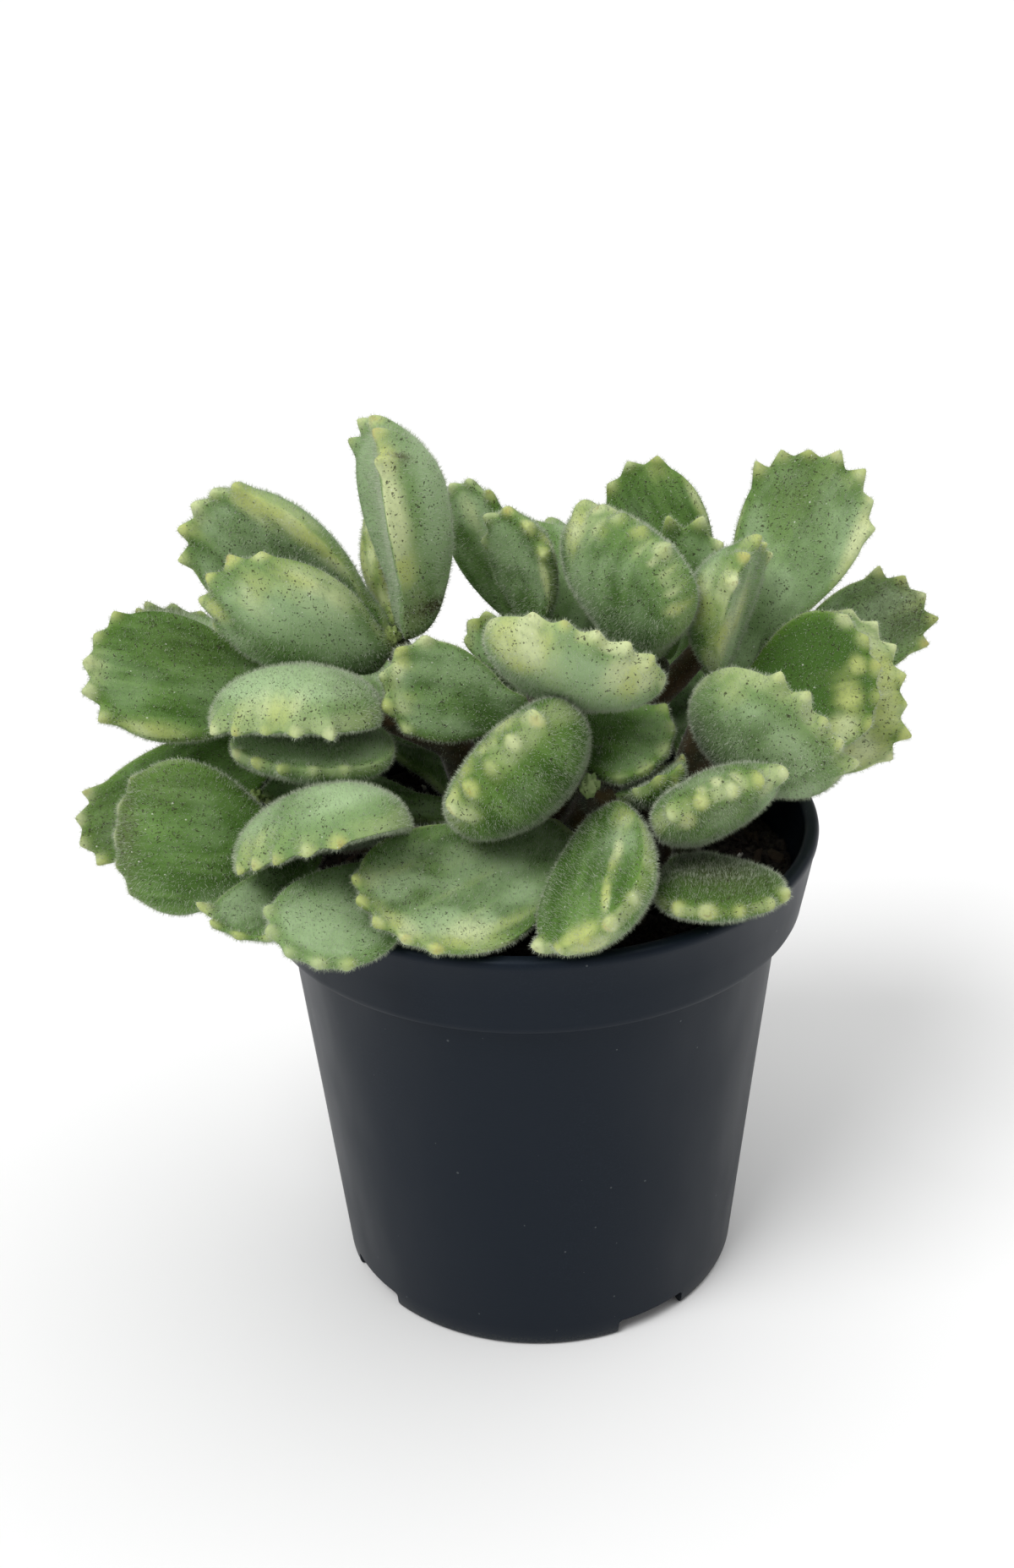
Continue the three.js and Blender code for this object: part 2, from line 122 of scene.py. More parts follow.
# Pot
POT_STEPS = 224
COLLAR_HEIGHT = 15.7
LIP_WALL = 2.8
DRAIN_SLOTS, DRAIN_TURN = 4, 33
DRAIN_WIDTH, DRAIN_HEIGHT, DRAIN_DEPTH = 15, 3.2, 5
DRAIN_RADIUS, DRAIN_ROUNDING = 39, 0.7
SHARP_FROM = math.radians(40)

# Potting mix: its waves as (height, frequency), its wall as (radius, height), and the grains on it
# as (count, sizes, how much longer than wide, tone)
SOIL_RADIUS = 48.2
SOIL_SPACING = 0.8
SOIL_STEPS = 260
SOIL_DROP = 1.1
SOIL_RIM_DROP = 0.8
SOIL_WAVES = ((1.3, 0.07), (0.8, 0.28), (0.45, 0.9))
SOIL_WALL = ((48, 79.6), (44.2, 75), (36.8, 2.6))
CRUMB, BARK, PERLITE = 0.0, 0.6, 1.0
GRAINS = (
    (2600, (0.35, 1.3), (1, 1.8), CRUMB),
    (260, (0.5, 1.3), (1.8, 3.4), BARK),
    (70, (0.4, 1.15), (1, 1.3), PERLITE),
)
GRAIN_MARGIN = 1.5
GRAIN_ROUGHNESS = 0.35
GRAIN_FLATNESS = (0.55, 0.9)
GRAIN_LIFT = 0.25  # how far a grain's middle is above the mix, as a share of its size

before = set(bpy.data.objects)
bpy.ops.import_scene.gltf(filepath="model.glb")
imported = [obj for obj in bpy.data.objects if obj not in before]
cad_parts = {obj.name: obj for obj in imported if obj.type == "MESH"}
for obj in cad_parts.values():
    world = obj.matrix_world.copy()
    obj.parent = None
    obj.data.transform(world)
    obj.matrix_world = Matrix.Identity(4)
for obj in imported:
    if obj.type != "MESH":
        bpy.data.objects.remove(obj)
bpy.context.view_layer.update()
rng = np.random.default_rng(RANDOM_SEED)


def linear(r, g, b):
    """An sRGB colour of 0 to 255 as linear RGBA."""
    out = []
    for c in (r, g, b):
        c /= 255
        out.append(c / 12.92 if c <= 0.04045 else ((c + 0.055) / 1.055) ** 2.4)
    return (*out, 1)


# ---------------------------------------------------------------- materials

DEEP_GREEN = linear(68, 101, 37)
MID_GREEN = linear(104, 138, 71)
# pale bloom green, also mixed in as painted light on leaves
BLOOM_AND_LIGHT_GREEN = linear(158, 184, 137)
# saturated green, darkened as painted shade of the hollows between the teeth
FRESH_SHADED_GREEN = linear(88, 124, 40)
YELLOW_CREAM = linear(196, 205, 127)
PALE_CREAM = linear(217, 225, 172)
OCHRE = linear(186, 152, 82)
TOOTH_BROWN = linear(112, 78, 44)
DUST = linear(46, 42, 26)
DUST_FILM = linear(70, 66, 44)
WHITE_GRAIN = linear(224, 228, 214)
SHEEN = linear(214, 222, 210)
FELT = linear(184, 192, 170)
# the stems' bark colours, darkened as painted shade of the gaps among the leaves
STEM_GREEN_SHADED, STEM_BROWN_SHADED = linear(54, 60, 30), linear(82, 62, 34)
STEM_CRACK = linear(34, 28, 19)
PEAT_DARK, PEAT_LIGHT = linear(20, 17, 15), linear(48, 41, 35)
BARK_DARK, BARK_LIGHT = linear(34, 28, 23), linear(62, 50, 38)
PERLITE_DARK, PERLITE_LIGHT = linear(170, 168, 160), linear(226, 224, 216)
POT_BLACK, POT_FILM = linear(19, 25, 34), linear(34, 41, 51)
POT_SCRATCH = linear(52, 59, 69)
POT_SPECK = linear(96, 100, 102)
POT_FOOT_DUST = linear(74, 76, 72)
POT_SHINE = linear(212, 230, 244)
FLOOR_WHITES = linear(240, 240, 240), linear(247, 247, 247)

PUSH, PUSH_SCALE = 1.4, 0.9  # how a pattern of dust is pushed about
SMALLEST_SPECK = 0.4  # as a share of the size that is asked for


class Look:
    """A node material and short ways to add and link its nodes."""

    def __init__(self, name, **settings):
        self.material = bpy.data.materials.new(name)
        self.material.use_nodes = True
        self.tree = self.material.node_tree
        self.tree.nodes.clear()
        self.shader = self.node("ShaderNodeBsdfPrincipled", **settings)
        output = self.node("ShaderNodeOutputMaterial")
        self.put(output.inputs["Surface"], self.shader.outputs[0])

    def put(self, socket, value):
        """Link a socket to another node's output, or give it a constant."""
        if isinstance(value, bpy.types.NodeSocket):
            self.tree.links.new(value, socket)
        else:
            socket.default_value = value

    def feed(self, node, **inputs):
        """Fill a node's sockets by their names, with _ for a space."""
        for name, value in inputs.items():
            self.put(node.inputs[name.replace("_", " ")], value)

    def node(self, kind, **inputs):
        node = self.tree.nodes.new(kind)
        self.feed(node, **inputs)
        return node

    def attribute(self, name, output="Fac"):
        node = self.node("ShaderNodeAttribute")
        node.attribute_name = name
        return node.outputs[output]

    def place(self):
        """Object coordinates in millimetres."""
        node = self.node("ShaderNodeTexCoord")
        return self.scaled(node.outputs["Object"], 1 / MM, 1 / MM, 1 / MM)

    def operate(self, kind, operation, *values):
        """What a node of one of the maths kinds makes of values."""
        node = self.node(kind)
        node.operation = operation
        for socket, value in zip(node.inputs, values):
            self.put(socket, value)
        return node.outputs[0]

    def math(self, operation, *values):
        return self.operate("ShaderNodeMath", operation, *values)

    def times(self, a, b):
        return self.math("MULTIPLY", a, b)

    def most(self, first, *others):
        for other in others:
            first = self.math("MAXIMUM", first, other)
        return first

    def ramp(self, value, low, high, start=0.0, end=1.0):
        """start below low, end above high, and a smooth step between them."""
        node = self.node("ShaderNodeMapRange", Value=value, From_Min=low, From_Max=high)
        node.interpolation_type = "SMOOTHSTEP"
        self.feed(node, To_Min=start, To_Max=end)
        return node.outputs[0]

    def mix(self, factor, a, b):
        node = self.node("ShaderNodeMix")
        node.data_type = "RGBA"
        for index, value in ((0, factor), (6, a), (7, b)):
            self.put(node.inputs[index], value)
        return node.outputs[2]

    def scaled(self, vector, x, y, z):
        return self.operate("ShaderNodeVectorMath", "MULTIPLY", vector, (x, y, z))

    def spun(self, vector, degrees):
        """A place turned about Z, and pushed about so that a pattern on it isn't straight."""
        about = self.node("ShaderNodeTexNoise", Vector=vector, Scale=PUSH_SCALE, Detail=1.0)
        terms = (about.outputs["Color"], (PUSH, PUSH, PUSH), vector)
        pushed = self.operate("ShaderNodeVectorMath", "MULTIPLY_ADD", *terms)
        node = self.node("ShaderNodeVectorRotate", Vector=pushed, Angle=math.radians(degrees))
        node.rotation_type = "Z_AXIS"
        return node.outputs[0]

    def noise(self, vector, scale, detail, roughness):
        node = self.node("ShaderNodeTexNoise", Vector=vector, Scale=scale)
        self.feed(node, Detail=detail, Roughness=roughness)
        return node.outputs["Fac"]

    def specks(self, vector, scale, bare, size):
        """Round grains in some cells of a Voronoi pattern; bare is the share without one."""
        node = self.node("ShaderNodeTexVoronoi", Vector=vector, Scale=scale)
        pick = self.node("ShaderNodeSeparateColor", Color=node.outputs["Color"])
        there = self.math("GREATER_THAN", pick.outputs[0], bare)
        radius = self.math("MULTIPLY_ADD", pick.outputs[1], size, size * SMALLEST_SPECK)
        return self.times(there, self.math("LESS_THAN", node.outputs["Distance"], radius))

    def bump(self, height, strength, distance):
        node = self.node("ShaderNodeBump", Height=height, Strength=strength, Distance=distance * MM)
        self.put(self.shader.inputs["Normal"], node.outputs[0])


def leaf_green(look, streak, blotch):
    """Streaked green with pale bloom over it, the bloom share also painting light and shade."""
    bloom_and_light = look.attribute("bloom_and_light")
    mid = look.times(look.ramp(streak, 0.34, 0.66), look.ramp(bloom_and_light, -0.5, 0.0))
    green = look.mix(mid, DEEP_GREEN, MID_GREEN)
    # the pale share: the leaf's own bloom, together with painted light and shade
    pale_share = look.math("ADD", bloom_and_light, look.ramp(blotch, 0.3, 0.7, -0.25, 0.3))
    green = look.mix(look.ramp(pale_share, 0.0, 1.0), green, BLOOM_AND_LIGHT_GREEN)
    # saturated green just inside the margin, darker there as painted shade in the hollows between
    # the teeth
    inside = look.ramp(look.attribute("rim"), 0.8, 0.95)
    band = look.times(inside, look.ramp(blotch, 0.3, 0.6, 0.15, 0.6))
    return look.mix(band, green, FRESH_SHADED_GREEN)


def leaf_cream(look, green, claw, streak, blotch, fine):
    """Cream patches that follow the leaf, a soft cream margin, and a spot at each tooth."""
    share = look.attribute("cream")
    spread = look.math("ADD", look.attribute("patch"), look.ramp(streak, 0.3, 0.7, -0.16, 0.13))
    patches = look.times(look.ramp(spread, 0.05, 0.9), look.ramp(fine, 0.2, 0.6, 0.85, 1))
    edge = look.times(look.ramp(look.attribute("rim"), 0.94, 0.998), look.ramp(share, 0.0, 1.0))
    edge = look.times(edge, look.ramp(blotch, 0.35, 0.6))
    spots = look.times(look.ramp(claw, 0.05, 0.85), look.ramp(share, 0.0, 0.6, 0.45, 0.95))
    cream = look.mix(look.ramp(blotch, 0.4, 0.62), YELLOW_CREAM, PALE_CREAM)
    colour = look.mix(look.times(look.most(patches, edge, spots), 0.85), green, cream)
    warm = look.times(look.ramp(claw, 0.3, 0.95), look.ramp(streak, 0.55, 0.7))
    colour = look.mix(look.times(warm, 0.4), colour, OCHRE)
    brown = look.times(look.ramp(claw, 0.84, 0.99), look.ramp(fine, 0.5, 0.6))
    return look.mix(look.times(brown, 0.35), colour, TOOTH_BROWN)


def leaf_dust(look, colour, place, claw, fine):
    """Potting dust caught in the felt: more of it in some places, less on the teeth."""
    soil = look.attribute("dirt")
    where = look.noise(look.scaled(place, 0.13, 0.13, 0.13), 1, 2, 0.5)
    bare = look.math("SUBTRACT", look.ramp(where, 0.3, 0.7, 0.9, 0.5), look.times(soil, 0.6))
    bare = look.math("ADD", bare, look.ramp(claw, 0.2, 0.8, 0, 0.3))
    dash = look.specks(look.scaled(look.spun(place, 38), 0.9, 2.7, 1.6), 1.0, bare, 0.25)
    fibre = look.specks(look.scaled(look.spun(place, -47), 0.7, 3.0, 1.6), 1.0, bare, 0.22)
    barer = look.math("ADD", bare, 0.07)
    dot = look.specks(look.scaled(place, 2.0, 2.3, 2.2), 1.0, barer, 0.26)
    film = look.times(soil, look.ramp(fine, 0.3, 0.6, 0.4, 1))
    colour = look.mix(look.times(film, 0.75), colour, DUST_FILM)
    colour = look.mix(look.times(look.most(dash, fibre, dot), 0.8), colour, DUST)
    white = look.specks(look.scaled(place, 1.0, 1.3, 1.3), 0.9, 0.86, 0.13)
    return look.mix(look.times(white, 0.6), colour, WHITE_GRAIN)


def leaf_look():
    """The leaves' skin, with patterns that lie along each leaf."""
    look = Look("leaf_skin", Roughness=0.75, Specular_IOR_Level=0.2)
    look.feed(look.shader, Sheen_Weight=0.45, Sheen_Roughness=0.25, Sheen_Tint=SHEEN)
    place = look.attribute("leaf_place", "Vector")
    claw = look.attribute("claw")
    streak = look.noise(look.scaled(place, 0.05, 0.26, 0.1), 1, 3, 0.55)
    blotch = look.noise(look.scaled(place, 0.1, 0.14, 0.12), 1, 2, 0.5)
    fine = look.noise(look.scaled(place, 1.1, 1.4, 1.4), 1, 3, 0.6)
    green = leaf_green(look, streak, blotch)
    colour = leaf_cream(look, green, claw, streak, blotch, fine)
    look.feed(look.shader, Base_Color=leaf_dust(look, colour, place, claw, fine))
    look.bump(look.noise(look.scaled(place, 3.5, 3.5, 3.5), 1, 2, 0.6), 0.35, 0.15)
    return look.material


def felt_look():
    """Pale matt hairs."""
    look = Look("leaf_felt", Roughness=0.9, Base_Color=FELT)
    look.feed(look.shader, Specular_IOR_Level=0.2, Sheen_Weight=0.3)
    return look.material


def stem_look():
    """Green-brown felted bark with dark cracks, darkened all over as painted shade."""
    look = Look("stem_bark", Roughness=0.85)
    look.feed(look.shader, Sheen_Weight=0.3, Sheen_Roughness=0.5, Specular_IOR_Level=0.3)
    place = look.place()
    patch = look.noise(place, 0.12, 3, 0.55)
    fine = look.noise(place, 1.2, 3, 0.6)
    colour = look.mix(look.ramp(patch, 0.36, 0.62), STEM_GREEN_SHADED, STEM_BROWN_SHADED)
    colour = look.mix(look.ramp(fine, 0.45, 0.75, 0, 0.6), colour, STEM_CRACK)
    look.feed(look.shader, Base_Color=colour)
    look.bump(fine, 0.5, 0.3)
    return look.material


def soil_look():
    """Peat, bark and perlite, told apart by the tone of each grain."""
    look = Look("potting_mix", Roughness=0.92, Specular_IOR_Level=0.25)
    place = look.place()
    tone = look.attribute("tone")
    fine = look.noise(place, 1.4, 4, 0.65)
    peat = look.mix(look.ramp(fine, 0.35, 0.7), PEAT_DARK, PEAT_LIGHT)
    bark = look.mix(fine, BARK_DARK, BARK_LIGHT)
    perlite = look.mix(fine, PERLITE_DARK, PERLITE_LIGHT)
    colour = look.mix(look.ramp(tone, 0.3, 0.5), peat, bark)
    colour = look.mix(look.ramp(tone, 0.75, 0.9), colour, perlite)
    look.feed(look.shader, Base_Color=colour)
    look.bump(fine, 0.6, 0.25)
    return look.material


def pot_look():
    """Satin blue-black plastic with faint scratches, a few light specks and a dusty foot."""
    look = Look("pot_plastic", Specular_IOR_Level=0.15, Specular_Tint=POT_SHINE)
    place = look.place()
    cloud = look.noise(look.scaled(place, 1, 1, 0.35), 0.06, 3, 0.5)
    grain = look.noise(place, 2.6, 2, 0.5)
    scratch = look.noise(look.scaled(place, 0.5, 0.5, 4.5), 1, 4, 0.65)
    film = look.times(look.ramp(cloud, 0.45, 0.7), look.ramp(grain, 0.45, 0.75))
    colour = look.mix(look.times(film, 0.3), POT_BLACK, POT_FILM)
    colour = look.mix(look.ramp(scratch, 0.68, 0.78, 0, 0.2), colour, POT_SCRATCH)
    height = look.node("ShaderNodeSeparateXYZ", Vector=place).outputs["Z"]
    foot = look.times(look.ramp(height, 0.4, 2.6, 1, 0), look.ramp(grain, 0.4, 0.6))
    colour = look.mix(look.times(foot, 0.4), colour, POT_FOOT_DUST)
    colour = look.mix(look.times(look.specks(place, 0.35, 0.5, 0.06), 0.5), colour, POT_SPECK)
    look.feed(look.shader, Base_Color=colour, Roughness=look.ramp(cloud, 0.3, 0.7, 0.36, 0.48))
    look.bump(look.math("ADD", look.times(grain, 0.4), scratch), 0.12, 0.08)
    return look.material


def floor_look():
    """Nearly white, with a faint cloud."""
    look = Look("studio_floor", Roughness=0.85)
    tint = look.noise(look.place(), 0.004, 2, 0.5)
    look.feed(look.shader, Base_Color=look.mix(tint, *FLOOR_WHITES))
    return look.material


# ---------------------------------------------------------------- meshes


def linked(name, data):
    """A new object in the scene."""
    thing = bpy.data.objects.new(name, data)
    bpy.context.scene.collection.objects.link(thing)
    return thing


def after_modifiers(thing):
    """A new mesh of the form that an object's modifiers give it."""
    depsgraph = bpy.context.evaluated_depsgraph_get()
    return bpy.data.meshes.new_from_object(thing.evaluated_get(depsgraph))


def placed(name, mesh, material):
    """An object of the part, riding on its one body."""
    mesh.materials.append(material)
    thing = linked(name, mesh)
    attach(thing, "root")
    return thing


def piece(name, points, faces, material, replaces=(), smooth=True, attributes=None):
    """A mesh piece from points in millimetres, with the values that its material reads."""
    mesh = bpy.data.meshes.new(name)
    mesh.from_pydata((np.asarray(points) * MM).tolist(), [], faces)
    mesh.polygons.foreach_set("use_smooth", [smooth] * len(mesh.polygons))
    for key, values in (attributes or {}).items():
        values = np.asarray(values, float)
        kind = "FLOAT_VECTOR" if values.ndim == 2 else "FLOAT"
        layer = mesh.attributes.new(key, kind, "POINT")
        layer.data.foreach_set("vector" if values.ndim == 2 else "value", values.ravel())
    thing = placed(name, mesh, material)
    if replaces:
        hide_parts(*replaces)
    return thing


def triangles_piece(name, points, material):
    """A piece of loose triangles, three points each, made straight from arrays."""
    mesh = bpy.data.meshes.new(name)
    count = len(points)
    mesh.vertices.add(count)
    mesh.vertices.foreach_set("co", (points * MM).ravel())
    mesh.loops.add(count)
    mesh.loops.foreach_set("vertex_index", np.arange(count))
    mesh.polygons.add(count // 3)
    mesh.polygons.foreach_set("loop_start", np.arange(0, count, 3))
    mesh.update(calc_edges=True)
    placed(name, mesh, material)


def ring_points(radius, height, steps):
    """Points round Z."""
    turns = [2 * math.pi * k / steps for k in range(steps)]
    return [(radius * math.cos(a), radius * math.sin(a), height) for a in turns]


def closed_faces(rings, steps):
    """Faces of a closed form from its points: a pole, rings of so many steps, and a pole."""
    faces = []
    end = 1 + (rings - 1) * steps
    for k in range(steps):
        n = (k + 1) % steps
        faces.append((0, 1 + n, 1 + k))
        for r in range(rings - 1):
            a, b = 1 + r * steps + k, 1 + r * steps + n
            faces.append((a, b, b + steps, a + steps))
        faces.append((end + steps, end + k, end + n))
    return faces


def unit(v):
    """A vector's direction."""
    return v / np.linalg.norm(v)


def units(rows):
    """The direction of each row."""
    return rows / np.linalg.norm(rows, axis=1)[:, None]


# ---------------------------------------------------------------- leaves read off the CAD


def welded(node):
    """A CAD node's points in millimetres, doubled ones joined, and each point's neighbours."""
    shape = bmesh.new()
    shape.from_mesh(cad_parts[node].data)
    bmesh.ops.remove_doubles(shape, verts=shape.verts, dist=WELD)
    shape.verts.index_update()
    points = np.array([v.co for v in shape.verts]) / MM
    links = [[e.other_vert(v).index for e in v.link_edges] for v in shape.verts]
    shape.free()
    return points, links


def levels_from(start, links):
    """How many links each point is away from the start."""
    level = {start: 0}
    queue = [start]
    for here in queue:
        for there in links[here]:
            if there not in level:
                level[there] = level[here] + 1
                queue.append(there)
    return level


def margin_of(points, links, pole):
    """The margin's points in order, from the middle of the leaf's foot round to it again."""
    level = levels_from(pole, links)
    ring = {i for i, n in level.items() if n == MARGIN_LEVEL}
    order = [min(ring)]
    while len(order) < len(ring):
        onward = [j for j in links[order[-1]] if j in ring and j not in order]
        if not onward:
            raise ValueError("the margin isn't one ring")
        order.append(onward[0])
    m = points[order]
    before, after = np.roll(m, 1, axis=0), np.roll(m, -1, axis=0)
    # the foot's middle lies straight between its neighbours, at a known distance from both
    wrong = np.linalg.norm(before + after - 2 * m, axis=1)
    for other in (before, after):
        wrong += abs(np.linalg.norm(other - m, axis=1) - FOOT_HALF_WIDTH)
    return np.roll(m, -int(np.argmin(wrong)), axis=0)


class LeafForm:
    """What a CAD leaf is made of, read off its node: its frame, swell, bend, outline and teeth."""

    def __init__(self, node):
        points, links = welded(node)
        poles = sorted(range(len(points)), key=lambda i: -len(links[i]))[:2]
        margin = margin_of(points, links, poles[0])
        self.base = margin[0]
        ends = points[poles]
        face = unit(ends[0] - ends[1])
        lifts = (ends - self.base) @ face
        if abs(lifts[0]) > abs(lifts[1]):
            face, lifts, ends = -face, -lifts[::-1], ends[::-1]
        toward = ends[0] - self.base
        toward = toward - face * (toward @ face)
        self.crown = np.linalg.norm(toward)
        self.length = self.crown / CROWN
        self.along = toward / self.crown
        self.face = face
        self.across = np.cross(face, self.along)
        axes = np.stack([self.along, self.across, face], axis=1)
        local = (margin - self.base) @ axes
        if local[1, 1] < 0:
            local = np.roll(local[::-1], 1, axis=0)
        count = len(local)
        tips = np.arange(FIRST_TIP, count - PLAIN_POINTS + FIRST_TIP - 1, 2)
        plain = np.setdiff1d(np.arange(count), tips)
        u, v, w = local[plain].T
        t = np.clip(u / self.length, 0, 1)
        bends = np.stack([-4 * t * (1 - t), v * v], axis=1)
        self.bow, self.cup = np.linalg.lstsq(bends, w, rcond=None)[0]
        middle = self.lift(self.crown, 0)
        self.front, self.back = lifts[0] - middle, middle - lifts[1]
        self.wide = 2 * abs(v).max()
        self.set_outline(local, plain, tips)

    def set_outline(self, local, plain, tips):
        """Keep the outline's knots, and each tooth as (distance along the outline, reach)."""
        self.knots = local[plain, :2]
        steps = np.linalg.norm(np.roll(self.knots, -1, axis=0) - self.knots, axis=1)
        self.at = np.concatenate([[0], np.cumsum(steps)])
        self.total = self.at[-1]
        self.teeth = []
        for tip in tips:
            k = int(np.searchsorted(plain, tip))
            s = (self.at[k - 1] + self.at[k]) / 2
            reach = np.linalg.norm(local[tip, :2] - self.outline(np.array([s]))[0])
            self.teeth.append((s, reach))

    def outline(self, s):
        """Points of the smooth outline, without teeth, at distances s along it."""
        k = self.knots
        gap = np.diff(self.at)
        slope = (np.roll(k, -1, axis=0) - k) / gap[:, None]
        before_gap, before_slope = np.roll(gap, 1)[:, None], np.roll(slope, 1, axis=0)
        tangent = before_slope * gap[:, None] + slope * before_gap
        tangent /= gap[:, None] + before_gap
        s = np.mod(s, self.total)
        i = np.clip(np.searchsorted(self.at, s, side="right") - 1, 0, len(k) - 1)
        j = (i + 1) % len(k)
        h = gap[i][:, None]
        f = ((s - self.at[i]) / gap[i])[:, None]
        return (
            (2 * f**3 - 3 * f**2 + 1) * k[i]
            + (f**3 - 2 * f**2 + f) * h * tangent[i]
            + (-2 * f**3 + 3 * f**2) * k[j]
            + (f**3 - f**2) * h * tangent[j]
        )

    def samples(self):
        """Distances along the outline, closer together where there are teeth."""
        s, out = 0.0, []
        centres = np.array([at for at, _ in self.teeth])
        while s < self.total - LAST_SPACING:
            out.append(s)
            near = len(centres) and abs(centres - s).min() < TOOTH_HALF_WIDTH + TOOTH_SURROUND
            s += TOOTH_SPACING if near else PLAIN_SPACING
        return np.array(out)

    def lift(self, u, v):
        """How far the bow and the cup lift the leaf's middle surface."""
        t = np.clip(u / self.length, 0, 1)
        return self.cup * v * v - self.bow * 4 * t * (1 - t)

    def world(self, u, v, w):
        """Points of the leaf's own frame, in the part's frame."""
        local = np.stack([u, v, w], axis=1)
        return self.base + local @ np.stack([self.along, self.across, self.face])

    def tooth_tips(self):
        """Where the teeth's points are, in the part's frame."""
        at, reach = np.array(self.teeth).reshape(-1, 2).T
        margin = self.outline(at)
        tips = margin + units(margin - [self.crown, 0]) * reach[:, None]
        u, v = tips.T
        return self.world(u, v, TOOTH_LIFT * reach + self.lift(u, v))


# ---------------------------------------------------------------- fine leaves


def claw_profile(x):
    """A tooth's outline over -1 to 1: a blunt point on flanks that curve in."""
    flank = 1 - (np.sqrt(x * x + TOOTH_BLUNTNESS**2) - TOOTH_BLUNTNESS)
    return np.clip(flank, 0, 1) ** TOOTH_HOLLOW


def tooth_swell(form, s, dice):
    """How far teeth push the outline out at distances s, and how near their ridges are (0 to 1)."""
    bulge, ridge = np.zeros(len(s)), np.zeros(len(s))
    for at, reach in form.teeth:
        d = np.mod(s - at + form.total / 2, form.total) - form.total / 2
        reach = reach * dice.uniform(*TOOTH_REACH)
        bulge = np.maximum(bulge, reach * claw_profile(d / TOOTH_HALF_WIDTH))
        ridge = np.maximum(ridge, np.exp(-((d / RIDGE_WIDTH) ** 2)))
    return bulge, ridge


def leaf_rings(form, dice):
    """The unbent leaf: its points, how near the margin each is, its side, and the ring's count."""
    s = form.samples()
    count = len(s)
    out = form.outline(s) - [form.crown, 0]
    outward = units(out)
    bulge, ridge = tooth_swell(form, s, dice)
    tipward = np.clip(out[:, 0] / (form.length - form.crown), 0, 1)
    power = FOOT_RISE + (TIP_RISE - FOOT_RISE) * tipward
    rows, edge, side = [[[form.crown, 0, form.front]]], [[0]], [[1]]
    for angle in RING_ANGLES:
        a = math.radians(angle)
        inward = math.sin(a)
        rise = abs(math.cos(a)) ** power
        tooth = bulge * math.exp(-(((angle - 90) / TOOTH_FADE) ** 2))
        behind = math.exp(-(((abs(angle - 90) - RIDGE_ANGLE) / RIDGE_ANGLE) ** 2))
        u = form.crown + out[:, 0] * inward + outward[:, 0] * tooth
        v = out[:, 1] * inward + outward[:, 1] * tooth
        w = form.front * rise if angle < 90 else -form.back * rise
        w = w + TOOTH_LIFT * tooth + np.sign(90 - angle) * RIDGE_HEIGHT * ridge * behind
        rows.append(np.stack([u, v, w], axis=1))
        edge.append(np.full(count, inward))
        side.append(np.full(count, np.clip(0.5 + SIDE_BLEND * math.cos(a), 0, 1)))
    rows.append([[form.crown, 0, -form.back]])
    edge.append([0])
    side.append([0])
    return np.concatenate(rows), np.concatenate(edge), np.concatenate(side), count


def wobble_at(points, seed):
    """The skin's gentle unevenness."""
    broad = [noise.noise(Vector(p) * WOBBLE_BROAD + Vector((seed, 0, 0))) for p in points]
    small = [noise.noise(Vector(p) * WOBBLE_SMALL + Vector((0, seed, 0))) for p in points]
    return WOBBLE * (np.array(broad) + 0.5 * np.array(small))


def fine_leaf(form, seed):
    """The smooth leaf as points and faces, what its material reads, and where its points are."""
    dice = np.random.default_rng(seed)
    local, edge, side, count = leaf_rings(form, dice)
    u, v, w = local.T
    w = w + form.lift(u, v)
    # the foot is drawn down into its stem
    u = u - SINK * np.clip(1 - u / SINK_LENGTH, 0, SINK_LIMIT) ** 2
    points = form.world(u, v, w)
    # uneven all over but not at the margin
    uneven = np.sign(w + 0.01) * wobble_at(points, seed) * (1 - edge**6)
    points = points + form.face * uneven[:, None]
    claw = np.zeros(len(points))
    for tip in form.tooth_tips():
        near = np.exp(-((np.linalg.norm(points - tip, axis=1) / CLAW_RADIUS) ** 2))
        claw = np.maximum(claw, near * dice.uniform(*CLAW_STRENGTH))
    place = np.stack([u, v, local[:, 2] + seed * SEED_STEP], axis=1)
    looks = {"leaf_place": place, "rim": edge, "claw": claw}
    where = (local[:, 0] / form.length, local[:, 1] * 2 / form.wide, side)
    return points, closed_faces(len(RING_ANGLES), count), looks, where


def triangles_of(faces):
    """Triangles and quads as triangles only."""
    out = []
    for face in faces:
        out.append(face[:3])
        if len(face) == 4:
            out.append((face[0], face[2], face[3]))
    return np.array(out)


def hairs(points, faces, per_mm2, lean, length_scale=1.0):
    """Loose triangles for felt: three points a hair, standing on a surface and leaning along it."""
    tri = triangles_of(faces)
    a, b, c = (points[tri[:, corner]] for corner in range(3))
    cross = np.cross(b - a, c - a)
    area = np.linalg.norm(cross, axis=1) / 2
    normals = np.zeros_like(points)
    for corner in range(3):
        np.add.at(normals, tri[:, corner], cross)
    normals /= np.linalg.norm(normals, axis=1)[:, None] + 1e-9
    count = int(area.sum() * per_mm2)
    pick = rng.choice(len(tri), count, p=area / area.sum())
    f, g = rng.random(count), rng.random(count)
    over = f + g > 1
    f[over], g[over] = 1 - f[over], 1 - g[over]
    shares = np.stack([1 - f - g, f, g], axis=1)[:, :, None]
    root = (points[tri[pick]] * shares).sum(axis=1)
    normal = (normals[tri[pick]] * shares).sum(axis=1)
    way = units(normal + rng.normal(0, HAIR_SPREAD, (count, 3)) + lean * HAIR_LEAN)
    side = units(np.cross(way, rng.normal(0, 1, (count, 3))))
    length = rng.uniform(*HAIR_LENGTH, count)[:, None] * length_scale
    half = side * rng.uniform(*HAIR_WIDTH, count)[:, None] / 2
    root = root - normal * HAIR_ROOT
    return np.stack([root - half, root + half, root + way * length], axis=1).reshape(-1, 3)
